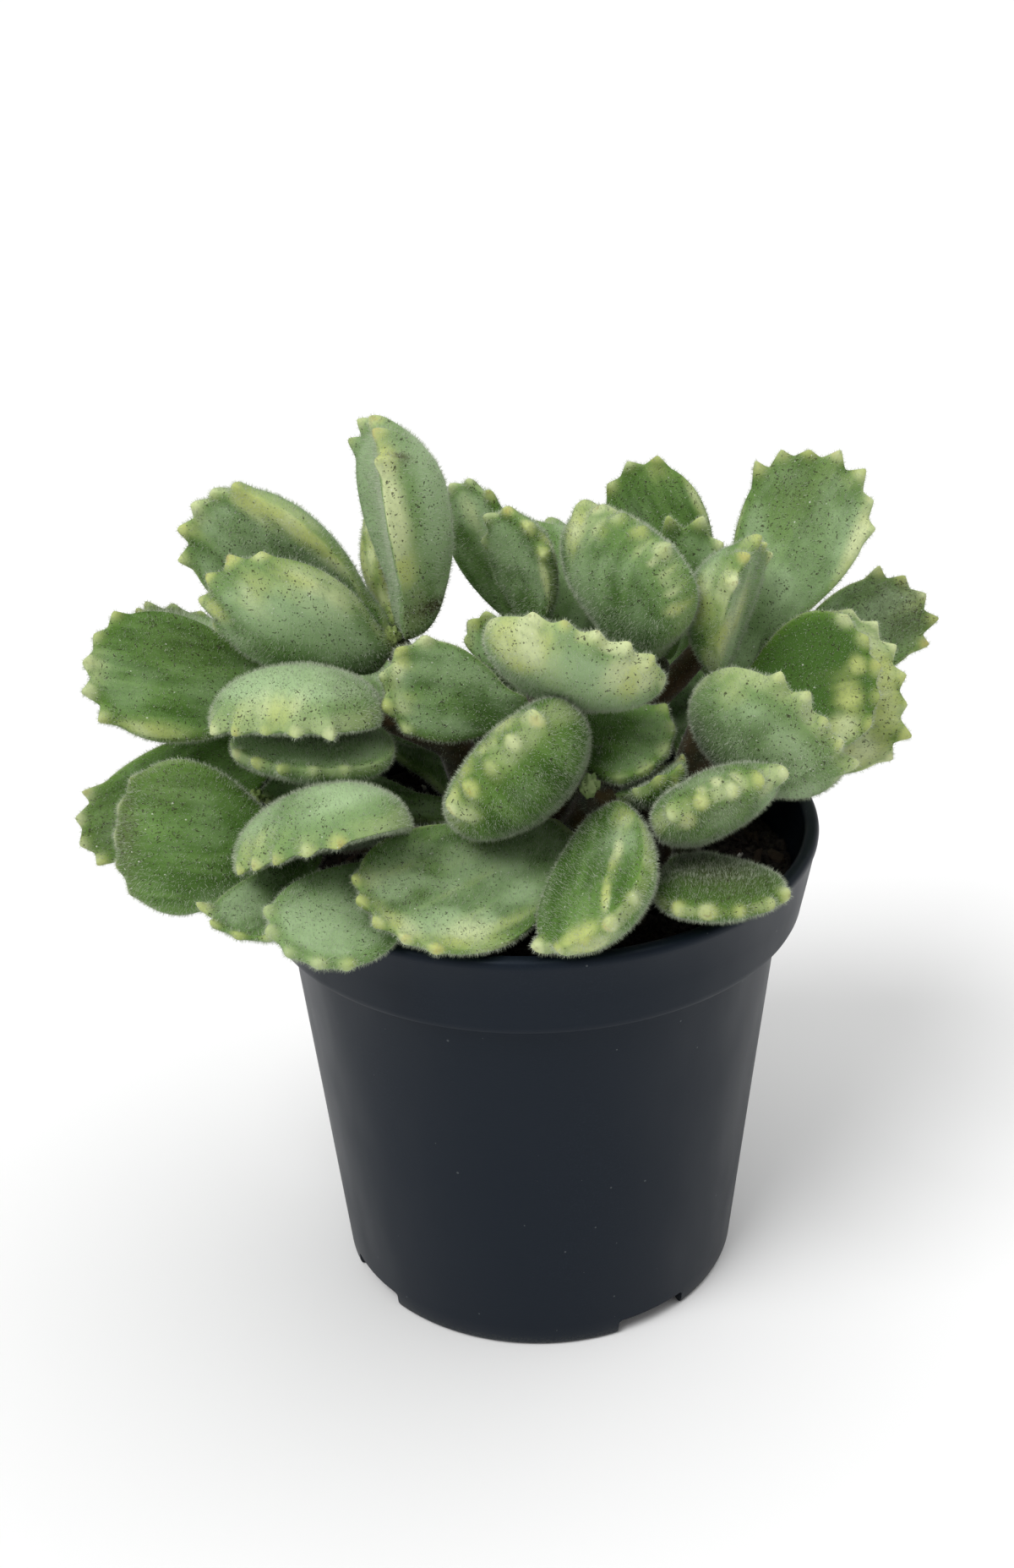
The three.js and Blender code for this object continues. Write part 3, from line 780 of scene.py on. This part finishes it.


# ---------------------------------------------------------------- the plant

# How much of a leaf's margin is cream (0 to 1), and how much pale bloom it has. The bloom
# value is also painted light and shade: higher on lit leaves, lower on shaded ones
LEAF_TONES = {
    "left_top_1": (0.5, 0.45), "left_top_2": (0.5, 0.45), "left_top_3": (0.35, 0.95),
    "left_top_4": (0.9, 0.3),
    "left_1": (0.3, 0.05), "left_2": (0.4, 0.25), "left_3": (0.4, 0.7), "left_4": (0.35, 0.7),
    "left_5": (0.35, 0.0),
    "front_1": (0.35, 0.55), "front_2": (0.25, -0.05), "front_3": (0.15, 0.6),
    "front_4": (0.35, 0.35),
    "centre_1": (0.45, 0.4), "centre_2": (0.4, 0.0), "centre_3": (0.5, 0.35),
    "centre_4": (0.45, 0.0), "centre_5": (0.8, 0.95), "centre_6": (0.1, 0.05),
    "centre_7": (0.3, 0.3),
    "crown_1": (0.3, 0.2), "crown_2": (0.5, 0.4), "crown_3": (0.25, 0.4), "crown_4": (0.3, 0.1),
    "crown_5": (0.4, 0.4),
    "right_1": (0.6, 0.45), "right_2": (0.4, 0.35), "right_3": (0.35, -0.45), "right_4": (0.5, 0.6),
    "right_5": (0.7, 0.25), "right_6": (0.5, 0.35),
    "low_1": (0.3, 0.1), "low_2": (0.5, 0.3), "low_3": (0.45, -0.35),
}
USUAL_TONES = (0.35, 0.35)

# Soft patches, as (side, place along the leaf, place across it, length, width, strength). Places
# and sizes are fractions of the leaf's length and of its half width.
FRONT, BACK, RIM = 0, 1, 2
RIM_SHARE = 0.25
CREAM_PATCHES = {
    "left_top_1": (
        (FRONT, 0.86, -0.78, 0.2, 0.28, 0.95), (FRONT, 0.62, -0.92, 0.25, 0.25, 1.0),
        (FRONT, 0.36, -0.85, 0.2, 0.25, 0.8), (FRONT, 1.0, 0.3, 0.08, 0.6, 0.5),
    ),
    "left_top_2": (
        (BACK, 0.84, 0.44, 0.12, 0.3, 0.6), (BACK, 0.66, 0.92, 0.25, 0.22, 0.75),
        (BACK, 0.4, 0.95, 0.2, 0.3, 0.7), (BACK, 0.95, -0.35, 0.1, 0.25, 0.8),
    ),
    "left_top_3": (
        (FRONT, 0.93, -0.63, 0.12, 0.3, 0.5), (RIM, 0.9, -0.85, 0.15, 0.25, 1.2),
        (RIM, 0.66, -1.0, 0.25, 0.3, 1.1), (RIM, 0.35, -0.85, 0.2, 0.3, 0.8),
    ),
    "left_top_4": ((FRONT, 0.5, 0, 0.8, 1.5, 1.0), (BACK, 0.5, 0, 0.8, 1.5, 1.0)),
    "left_1": ((FRONT, 0.72, 0.95, 0.25, 0.18, 0.75), (FRONT, 1.0, 0.1, 0.08, 0.5, 0.5)),
    "left_3": ((BACK, 1.0, 0.0, 0.1, 1.2, 0.65),),
    "front_1": ((BACK, 0.97, 0.4, 0.08, 0.4, 0.5),),
    "centre_1": ((FRONT, 0.97, -0.3, 0.09, 0.5, 0.85), (FRONT, 0.88, 0.5, 0.1, 0.3, 0.6)),
    "centre_2": (
        (FRONT, 0.82, 0.37, 0.12, 0.22, 0.7), (FRONT, 0.95, 0.72, 0.1, 0.2, 0.8),
        (FRONT, 0.92, 0.08, 0.09, 0.2, 0.6), (FRONT, 0.92, -0.3, 0.12, 0.2, 0.6),
        (BACK, 0.95, -0.66, 0.07, 0.2, 0.9), (FRONT, 0.95, -0.66, 0.07, 0.2, 0.9),
    ),
    "centre_3": (
        (FRONT, 0.78, 0.72, 0.2, 0.35, 0.6), (FRONT, 0.6, 0.8, 0.2, 0.2, 0.45),
        (FRONT, 0.97, 0.1, 0.07, 0.8, 0.6), (FRONT, 0.9, -0.6, 0.1, 0.3, 0.4),
        (FRONT, 0.7, -0.55, 0.25, 0.14, 0.32), (FRONT, 0.55, 0.05, 0.3, 0.12, 0.3),
        (FRONT, 0.35, -0.3, 0.2, 0.2, 0.22),
    ),
    "centre_4": (
        (FRONT, 0.2, 0.55, 0.2, 0.25, 0.6), (FRONT, 0.52, 0.5, 0.16, 0.1, 1.0),
        (FRONT, 0.8, 0.42, 0.12, 0.08, 1.0), (FRONT, 1.0, -0.1, 0.07, 0.5, 0.9),
        (BACK, 1.0, -0.1, 0.08, 0.5, 0.9),
    ),
    "centre_5": (
        (BACK, 0.82, -0.7, 0.22, 0.42, 1.2), (BACK, 0.93, 0.6, 0.2, 0.38, 1.1),
        (BACK, 1.0, 0.0, 0.05, 0.4, 0.3),
    ),
    "crown_1": ((FRONT, 0.83, -0.3, 0.15, 0.35, 0.5),),
    "crown_2": ((BACK, 0.6, -0.8, 0.35, 0.18, 1.0), (FRONT, 0.5, -0.95, 0.3, 0.2, 1.0)),
    "crown_3": (
        (BACK, 0.92, -0.58, 0.13, 0.3, 0.95), (FRONT, 0.95, -0.45, 0.12, 0.5, 0.9),
        (BACK, 1.0, -0.15, 0.07, 0.2, 0.7), (BACK, 0.96, 0.5, 0.04, 0.07, 0.6),
        (BACK, 0.92, 0.7, 0.035, 0.05, 0.9), (BACK, 0.84, 0.84, 0.035, 0.05, 0.9),
        (BACK, 0.76, 0.94, 0.035, 0.05, 0.9), (BACK, 0.64, 0.98, 0.05, 0.07, 1.1),
    ),
    "crown_4": ((FRONT, 0.95, -0.5, 0.1, 0.3, 0.4), (FRONT, 0.65, -0.95, 0.25, 0.12, 0.6)),
    "right_1": (
        (BACK, 0.6, 0.9, 0.3, 0.4, 0.8), (FRONT, 0.35, 0.8, 0.3, 0.5, 1.1),
        (FRONT, 0.5, 0.3, 0.25, 0.4, 0.9),
    ),
    "right_2": ((FRONT, 0.8, -0.9, 0.25, 0.2, 0.8), (FRONT, 0.97, -0.4, 0.06, 0.4, 0.4)),
    "right_3": (
        (FRONT, 0.8, -0.35, 0.12, 0.3, 0.9), (FRONT, 0.72, -0.7, 0.18, 0.25, 0.8),
        (FRONT, 0.9, 0.1, 0.07, 0.2, 0.7),
    ),
    "right_4": (
        (BACK, 0.74, -0.93, 0.15, 0.2, 0.4), (RIM, 0.98, -0.45, 0.06, 0.2, 0.6),
        (RIM, 0.99, 0.24, 0.06, 0.2, 0.6),
    ),
    "right_5": ((FRONT, 0.9, 0, 0.22, 1.0, 0.75), (FRONT, 0.64, -0.77, 0.3, 0.3, 0.9)),
    "right_6": ((FRONT, 0.97, 0, 0.1, 1.0, 0.35),),
    "low_1": ((BACK, 0.93, -0.38, 0.15, 0.25, 0.7),),
    "low_2": (
        (BACK, 0.98, 0.13, 0.05, 0.12, 1.0), (BACK, 1.0, -0.16, 0.05, 0.12, 1.0),
        (BACK, 1.0, 0.41, 0.06, 0.12, 0.9), (FRONT, 0.86, 0.7, 0.1, 0.14, 0.9),
        (FRONT, 0.93, -0.62, 0.12, 0.2, 0.6),
    ),
}
# Pale patches: bloom, and painted highlights where light falls on a leaf
BLOOM_AND_LIGHT_PATCHES = {
    "left_top_1": ((BACK, 0.6, -0.8, 0.4, 0.4, 0.5),),
    "left_top_2": ((BACK, 0.5, 0.3, 0.35, 0.5, 0.6),),
    "left_top_3": ((BACK, 0.55, -0.75, 0.35, 0.2, 0.7),),
    "left_3": ((BACK, 0.7, 0.1, 0.3, 0.5, 0.4),),
    "front_1": ((BACK, 0.7, -0.5, 0.3, 0.5, 0.4),),
    "front_3": ((FRONT, 0.8, 0.0, 0.15, 0.5, 0.5),),
    "front_4": ((FRONT, 0.6, -0.4, 0.25, 0.5, 0.6),),
    "centre_3": ((FRONT, 0.5, 0.4, 0.35, 0.4, 0.4), (FRONT, 0.85, -0.45, 0.15, 0.35, 0.3)),
    "centre_4": ((FRONT, 0.3, 0.6, 0.3, 0.3, 0.55),),
    "crown_1": ((FRONT, 0.75, -0.4, 0.2, 0.4, 0.7),),
    "right_2": ((FRONT, 0.45, -0.35, 0.35, 0.6, 0.4),),
    "right_6": ((FRONT, 0.7, 0.2, 0.3, 0.6, 0.3),),
}
DIRT_PATCHES = {
    "left_top_3": (
        (BACK, 0.03, 0, 0.16, 1.5, 0.6), (BACK, 0.13, -0.36, 0.05, 0.16, 1.6),
        (BACK, 0.88, -0.76, 0.03, 0.1, 1.4),
    ),
    "left_1": ((FRONT, 0.55, -0.5, 0.25, 0.4, 0.3),),
    "left_2": ((FRONT, 0.95, 0, 0.15, 1.5, 0.8), (RIM, 0.95, 0, 0.15, 1.5, 0.9)),
    "left_3": ((BACK, 0.75, -0.8, 0.2, 0.25, 0.4),),
    "left_5": ((FRONT, 0.9, 0, 0.2, 1.0, 0.4),),
    "front_2": ((BACK, 0.97, 0.1, 0.1, 1.0, 0.8), (BACK, 0.75, 0.7, 0.3, 0.3, 0.4)),
    "centre_3": ((FRONT, 0.85, -0.3, 0.2, 0.4, 0.3),),
    "right_2": ((FRONT, 0.85, 0.3, 0.2, 0.6, 0.4),),
    "right_4": ((BACK, 0.9, 0.0, 0.2, 0.8, 0.25),),
    "right_6": ((FRONT, 0.9, 0, 0.3, 1.5, 0.7),),
    "low_2": ((BACK, 0.9, 0.2, 0.15, 0.6, 0.4), (FRONT, 0.9, 0.2, 0.1, 0.6, 0.5)),
    "low_3": ((FRONT, 0.5, 0.1, 0.45, 0.8, 1.0),),
}
FELT_GROUPS = ("left_top", "left", "front", "centre", "crown", "right", "low", "back")


def spread(patches, u, v, front):
    """How strong the patches are at each point; front is 1 on the upper side, 0 on the lower."""
    strength = np.zeros(len(u))
    shares = {FRONT: front, BACK: 1 - front, RIM: np.exp(-(((front - 0.5) / RIM_SHARE) ** 2))}
    for side, along, across, length, width, peak in patches:
        here = peak * np.exp(-(((u - along) / length) ** 2) - ((v - across) / width) ** 2)
        strength = np.maximum(strength, shares[side] * here)
    return strength


def add_leaves(skin, felt):
    """Every leaf, and its felt gathered by branch."""
    gathered = {group: [] for group in FELT_GROUPS}
    names = [node.removeprefix("leaf_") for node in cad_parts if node.startswith("leaf_")]
    for seed, name in enumerate(names):
        form = LeafForm("leaf_" + name)
        points, faces, values, where = fine_leaf(form, seed)
        cream, bloom_and_light = LEAF_TONES.get(name, USUAL_TONES)
        values["patch"] = spread(CREAM_PATCHES.get(name, ()), *where)
        values["cream"] = np.full(len(points), cream)
        # bloom, with painted light and shade, over the whole leaf and in patches
        values["bloom_and_light"] = bloom_and_light + spread(BLOOM_AND_LIGHT_PATCHES.get(name, ()), *where)
        values["dirt"] = spread(DIRT_PATCHES.get(name, ()), *where)
        piece("skin_" + name, points, faces, skin, ["leaf_" + name], attributes=values)
        group = name.rsplit("_", 1)[0]
        per_mm2 = HAIRS_PER_MM2_BEHIND if group == "back" else HAIRS_PER_MM2
        gathered[group].append(hairs(points, faces, per_mm2, form.along))
    for group, parts in gathered.items():
        triangles_piece("felt_" + group, np.concatenate(parts), felt)


def add_bud(name, x, y, z, radius, height, skin):
    """A crinkled bud of a new shoot."""
    points, faces = [], []
    for i in range(BUD_RINGS + 1):
        rise = math.pi * i / BUD_RINGS
        for k in range(BUD_STEPS):
            a = 2 * math.pi * k / BUD_STEPS
            lobe = abs(math.cos(BUD_LOBES * a / 2 + BUD_TWIST * math.cos(rise)))
            r = math.sin(rise) * (BUD_WAIST + BUD_FOLD * lobe)
            p = Vector((r * math.cos(a), r * math.sin(a), math.cos(rise)))
            p *= 1 + BUD_CRUMPLE * noise.noise(p * BUD_CRUMPLE_SCALE)
            points.append((x + p.x * radius, y + p.y * radius, z + p.z * height))
    for i in range(BUD_RINGS):
        for k in range(BUD_STEPS):
            a, b = i * BUD_STEPS + k, i * BUD_STEPS + (k + 1) % BUD_STEPS
            faces.append((a, a + BUD_STEPS, b + BUD_STEPS, b))
    values = {key: np.full(len(points), value) for key, value in BUD_LOOKS.items()}
    values["leaf_place"] = points
    piece(name, points, faces, skin, attributes=values)


def rounded(node):
    """A stem node's points and faces, remeshed round and smooth."""
    thing = linked("round_" + node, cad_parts[node].data.copy())
    weld = thing.modifiers.new("weld", "WELD")
    weld.merge_threshold = WELD
    remesh = thing.modifiers.new("remesh", "REMESH")
    remesh.mode = "VOXEL"
    remesh.voxel_size = STEM_VOXEL * MM
    smooth = thing.modifiers.new("smooth", "SMOOTH")
    smooth.factor = STEM_SMOOTH_FACTOR
    smooth.iterations = STEM_SMOOTHINGS
    mesh = after_modifiers(thing)
    bpy.data.objects.remove(thing)
    points = np.array([v.co for v in mesh.vertices]) / MM
    faces = [tuple(p.vertices) for p in mesh.polygons]
    bpy.data.meshes.remove(mesh)
    return points, faces


def add_stems():
    """Each stem, and the felt of all."""
    bark, felt = stem_look(), felt_look()
    up = np.array([0, 0, 1.0])
    gathered = []
    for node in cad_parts:
        if not node.startswith("stem_"):
            continue
        points, faces = rounded(node)
        piece(node.replace("stem_", "bark_"), points, faces, bark, [node])
        gathered.append(hairs(points, faces, HAIRS_PER_MM2_STEMS, up, STEM_HAIR_SCALE))
    triangles_piece("felt_stems", np.concatenate(gathered), felt)


# ---------------------------------------------------------------- pot and potting mix


def pot_profile():
    """The pot's section as (radius, height), with the sizes of its CAD node and rounded edges."""
    _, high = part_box("pot")
    height = high[2] / MM
    lip = high[0] / MM
    ledge = height - COLLAR_HEIGHT
    top_in = lip - LIP_WALL
    underside = [(0, 1.1), (30, 1.1), (36.6, 0.8)]
    foot = [(37.4, 0.1), (38.1, 0), (38.7, 0.3), (39, 1)]
    body = [(39.34, 4.7), (39.46, 6), (42.5, ledge / 2), (46.15, ledge - 0.6)]
    step = [
        (46.3, ledge - 0.15), (46.7, ledge), (49.3, ledge),
        (49.75, ledge + 0.15), (50, ledge + 0.7), (50.1, ledge + 1.4),
    ]
    collar = [(51.1, ledge + 7), (52.15, height - 2.3), (52.45, height - 1.6)]
    brim = [
        (lip, height - 1.05), (lip - 0.12, height - 0.5), (lip - 0.5, height - 0.12),
        (lip - 1, height), (top_in + 0.8, height), (top_in + 0.25, height - 0.3),
        (top_in, height - 0.9),
    ]
    inside = [
        (49.1, ledge + 9), (48.45, ledge + 1.9), (48.1, ledge + 1.2),
        (45.5, ledge - 1.2), (44.9, ledge - 1.9), (38.15, 5.6), (38.05, 4.6),
    ]
    bottom = [(37.9, 3), (37.3, 2.1), (36, 2), (0, 2)]
    return underside + foot + body + step + collar + brim + inside + bottom


def turned(profile, steps):
    """A closed solid turned about Z from a profile that starts and ends on the axis."""
    (_, first), *inner, (_, last) = profile
    points = [(0, 0, first)]
    for r, z in inner:
        points.extend(ring_points(r, z, steps))
    points.append((0, 0, last))
    return points, closed_faces(len(inner), steps)


def drain_cutter(turn):
    """A rounded block across the pot's foot, to cut a drain notch with."""
    shape = bmesh.new()
    bmesh.ops.create_cube(shape, size=1)
    size = (2 * DRAIN_DEPTH * MM, DRAIN_WIDTH * MM, 2 * DRAIN_HEIGHT * MM)
    bmesh.ops.scale(shape, vec=size, verts=shape.verts)
    edges, offset = list(shape.edges), DRAIN_ROUNDING * MM
    bmesh.ops.bevel(shape, geom=edges, offset=offset, segments=3, affect="EDGES", profile=0.5)
    bmesh.ops.translate(shape, vec=(DRAIN_RADIUS * MM, 0, 0), verts=shape.verts)
    bmesh.ops.transform(shape, matrix=Matrix.Rotation(turn, 4, "Z"), verts=shape.verts)
    mesh = bpy.data.meshes.new("cutter")
    shape.to_mesh(mesh)
    shape.free()
    return linked("cutter", mesh)


def add_pot():
    """The pot, with drain notches cut in its foot."""
    points, faces = turned(pot_profile(), POT_STEPS)
    pot = piece("nursery_pot", points, faces, pot_look(), ["pot"])
    cutters = []
    for i in range(DRAIN_SLOTS):
        cutters.append(drain_cutter(math.radians(DRAIN_TURN + 360 * i / DRAIN_SLOTS)))
        cut = pot.modifiers.new("drain", "BOOLEAN")
        cut.operation = "DIFFERENCE"
        cut.solver = "EXACT"
        cut.object = cutters[-1]
    mesh = after_modifiers(pot)
    pot.modifiers.clear()
    whole, pot.data = pot.data, mesh
    bpy.data.meshes.remove(whole)
    for cutter in cutters:
        bpy.data.objects.remove(cutter)
    mesh.set_sharp_from_angle(angle=SHARP_FROM)


def soil_height(x, y):
    """How far the mix's top is lifted at a place."""
    p = Vector((x, y, 0))
    return sum(height * noise.noise(p * frequency) for height, frequency in SOIL_WAVES)


def soil_skin(level):
    """The mix's uneven top, its wall and its flat underside, as points and faces."""
    rings = int(SOIL_RADIUS / SOIL_SPACING)
    points, faces = [(0, 0, level + soil_height(0, 0))], []
    for i in range(1, rings + 1):
        drop = SOIL_RIM_DROP if i == rings else 0
        for x, y, z in ring_points(SOIL_RADIUS * i / rings, level, SOIL_STEPS):
            points.append((x, y, z + soil_height(x, y) - drop))
    for r, z in SOIL_WALL:
        points.extend(ring_points(r, z, SOIL_STEPS))
    last_ring = len(points) - SOIL_STEPS
    for k in range(SOIL_STEPS):
        n = (k + 1) % SOIL_STEPS
        faces.append((0, 1 + k, 1 + n))
        for first in range(1, last_ring, SOIL_STEPS):
            a, b = first + k, first + n
            faces.append((a, a + SOIL_STEPS, b + SOIL_STEPS, b))
    faces.append(tuple(reversed(range(last_ring, len(points)))))
    return points, faces


def ball():
    """A coarse ball of radius 1, as points and triangles."""
    shape = bmesh.new()
    bmesh.ops.create_icosphere(shape, subdivisions=1, radius=1)
    points = np.array([v.co for v in shape.verts])
    faces = np.array([[v.index for v in f.verts] for f in shape.faces])
    shape.free()
    return points, faces


def lump(points, size, stretch):
    """The ball's points as a small angular grain."""
    points = points * (1 + rng.uniform(-GRAIN_ROUGHNESS, GRAIN_ROUGHNESS, (len(points), 1)))
    points *= size * np.array([stretch, 1, rng.uniform(*GRAIN_FLATNESS)])
    turn, _ = np.linalg.qr(rng.normal(0, 1, (3, 3)))
    if np.linalg.det(turn) < 0:
        turn[:, 0] *= -1
    return points @ turn.T


def add_soil():
    """The potting mix, with crumbs, bark bits and perlite grains on it."""
    _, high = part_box("soil")
    level = high[2] / MM - SOIL_DROP
    points, faces = soil_skin(level)
    tone = [CRUMB] * len(points)
    round_grain, grain_faces = ball()
    for count, (smallest, largest), stretches, shade in GRAINS:
        for _ in range(count):
            r = (SOIL_RADIUS - GRAIN_MARGIN) * math.sqrt(rng.random())
            a = rng.uniform(0, 2 * math.pi)
            x, y = r * math.cos(a), r * math.sin(a)
            size = smallest + (largest - smallest) * rng.random() ** 2
            grain = lump(round_grain, size, rng.uniform(*stretches))
            centre = [x, y, level + soil_height(x, y) + size * GRAIN_LIFT]
            faces.extend((grain_faces + len(points)).tolist())
            points.extend((grain + centre).tolist())
            tone.extend([shade] * len(grain))
    values = {"tone": tone}
    look = soil_look()
    piece("potting_mix_top", points, faces, look, ["soil"], smooth=False, attributes=values)


# ---------------------------------------------------------------- studio


def add_camera():
    """A pinhole in front of the plant, looking down at it."""
    camera = bpy.data.cameras.new("camera")
    camera.sensor_fit = "VERTICAL"
    camera.sensor_height = SENSOR
    camera.lens = SENSOR * FOCAL_PIXELS / IMAGE_HEIGHT
    camera.shift_x = -(PRINCIPAL_X - IMAGE_WIDTH / 2) / IMAGE_HEIGHT
    camera.shift_y = (PRINCIPAL_Y - IMAGE_HEIGHT / 2) / IMAGE_HEIGHT
    camera.clip_start, camera.clip_end = CLIP_START, CLIP_END
    back = Vector((0, -math.cos(CAMERA_ELEVATION), math.sin(CAMERA_ELEVATION)))
    place = Vector((0, 0, LOOK_AT_HEIGHT)) + back * CAMERA_DISTANCE
    tilt = Matrix.Rotation(math.pi / 2 - CAMERA_ELEVATION, 4, "X")
    roll = Matrix.Rotation(-CAMERA_ROLL, 4, "Z")
    thing = linked("camera", camera)
    thing.matrix_world = Matrix.Translation(place * MM) @ tilt @ roll
    bpy.context.scene.camera = thing


def add_sun(name, from_place, spread, strength):
    """A sun that shines from a place towards the origin."""
    lamp = bpy.data.lights.new(name, "SUN")
    lamp.angle = math.radians(spread)
    lamp.energy = strength
    thing = linked(name, lamp)
    thing.rotation_euler = (-Vector(from_place)).to_track_quat("-Z", "Y").to_euler()


def add_studio():
    """A white floor and sky, and the suns."""
    floor = bpy.data.meshes.new("floor")
    shape = bmesh.new()
    bmesh.ops.create_circle(shape, cap_ends=True, segments=96, radius=FLOOR_RADIUS)
    bmesh.ops.translate(shape, vec=(0, 0, -FLOOR_DROP), verts=shape.verts)
    shape.to_mesh(floor)
    shape.free()
    floor.materials.append(floor_look())
    thing = linked("floor", floor)
    world = bpy.data.worlds.new("studio")
    world.use_nodes = True
    sky = world.node_tree.nodes["Background"]
    sky.inputs["Color"].default_value = (1, 1, 1, 1)
    sky.inputs["Strength"].default_value = SKY_STRENGTH
    bpy.context.scene.world = world
    for name, settings in SUNS.items():
        add_sun(name, *settings)
    bpy.context.scene.view_settings.view_transform = "Standard"


add_camera()
leaf_skin = leaf_look()
add_leaves(leaf_skin, felt_look())
for bud, shape in BUDS.items():
    add_bud(bud, *shape, leaf_skin)
add_stems()
add_pot()
add_soil()
add_studio()
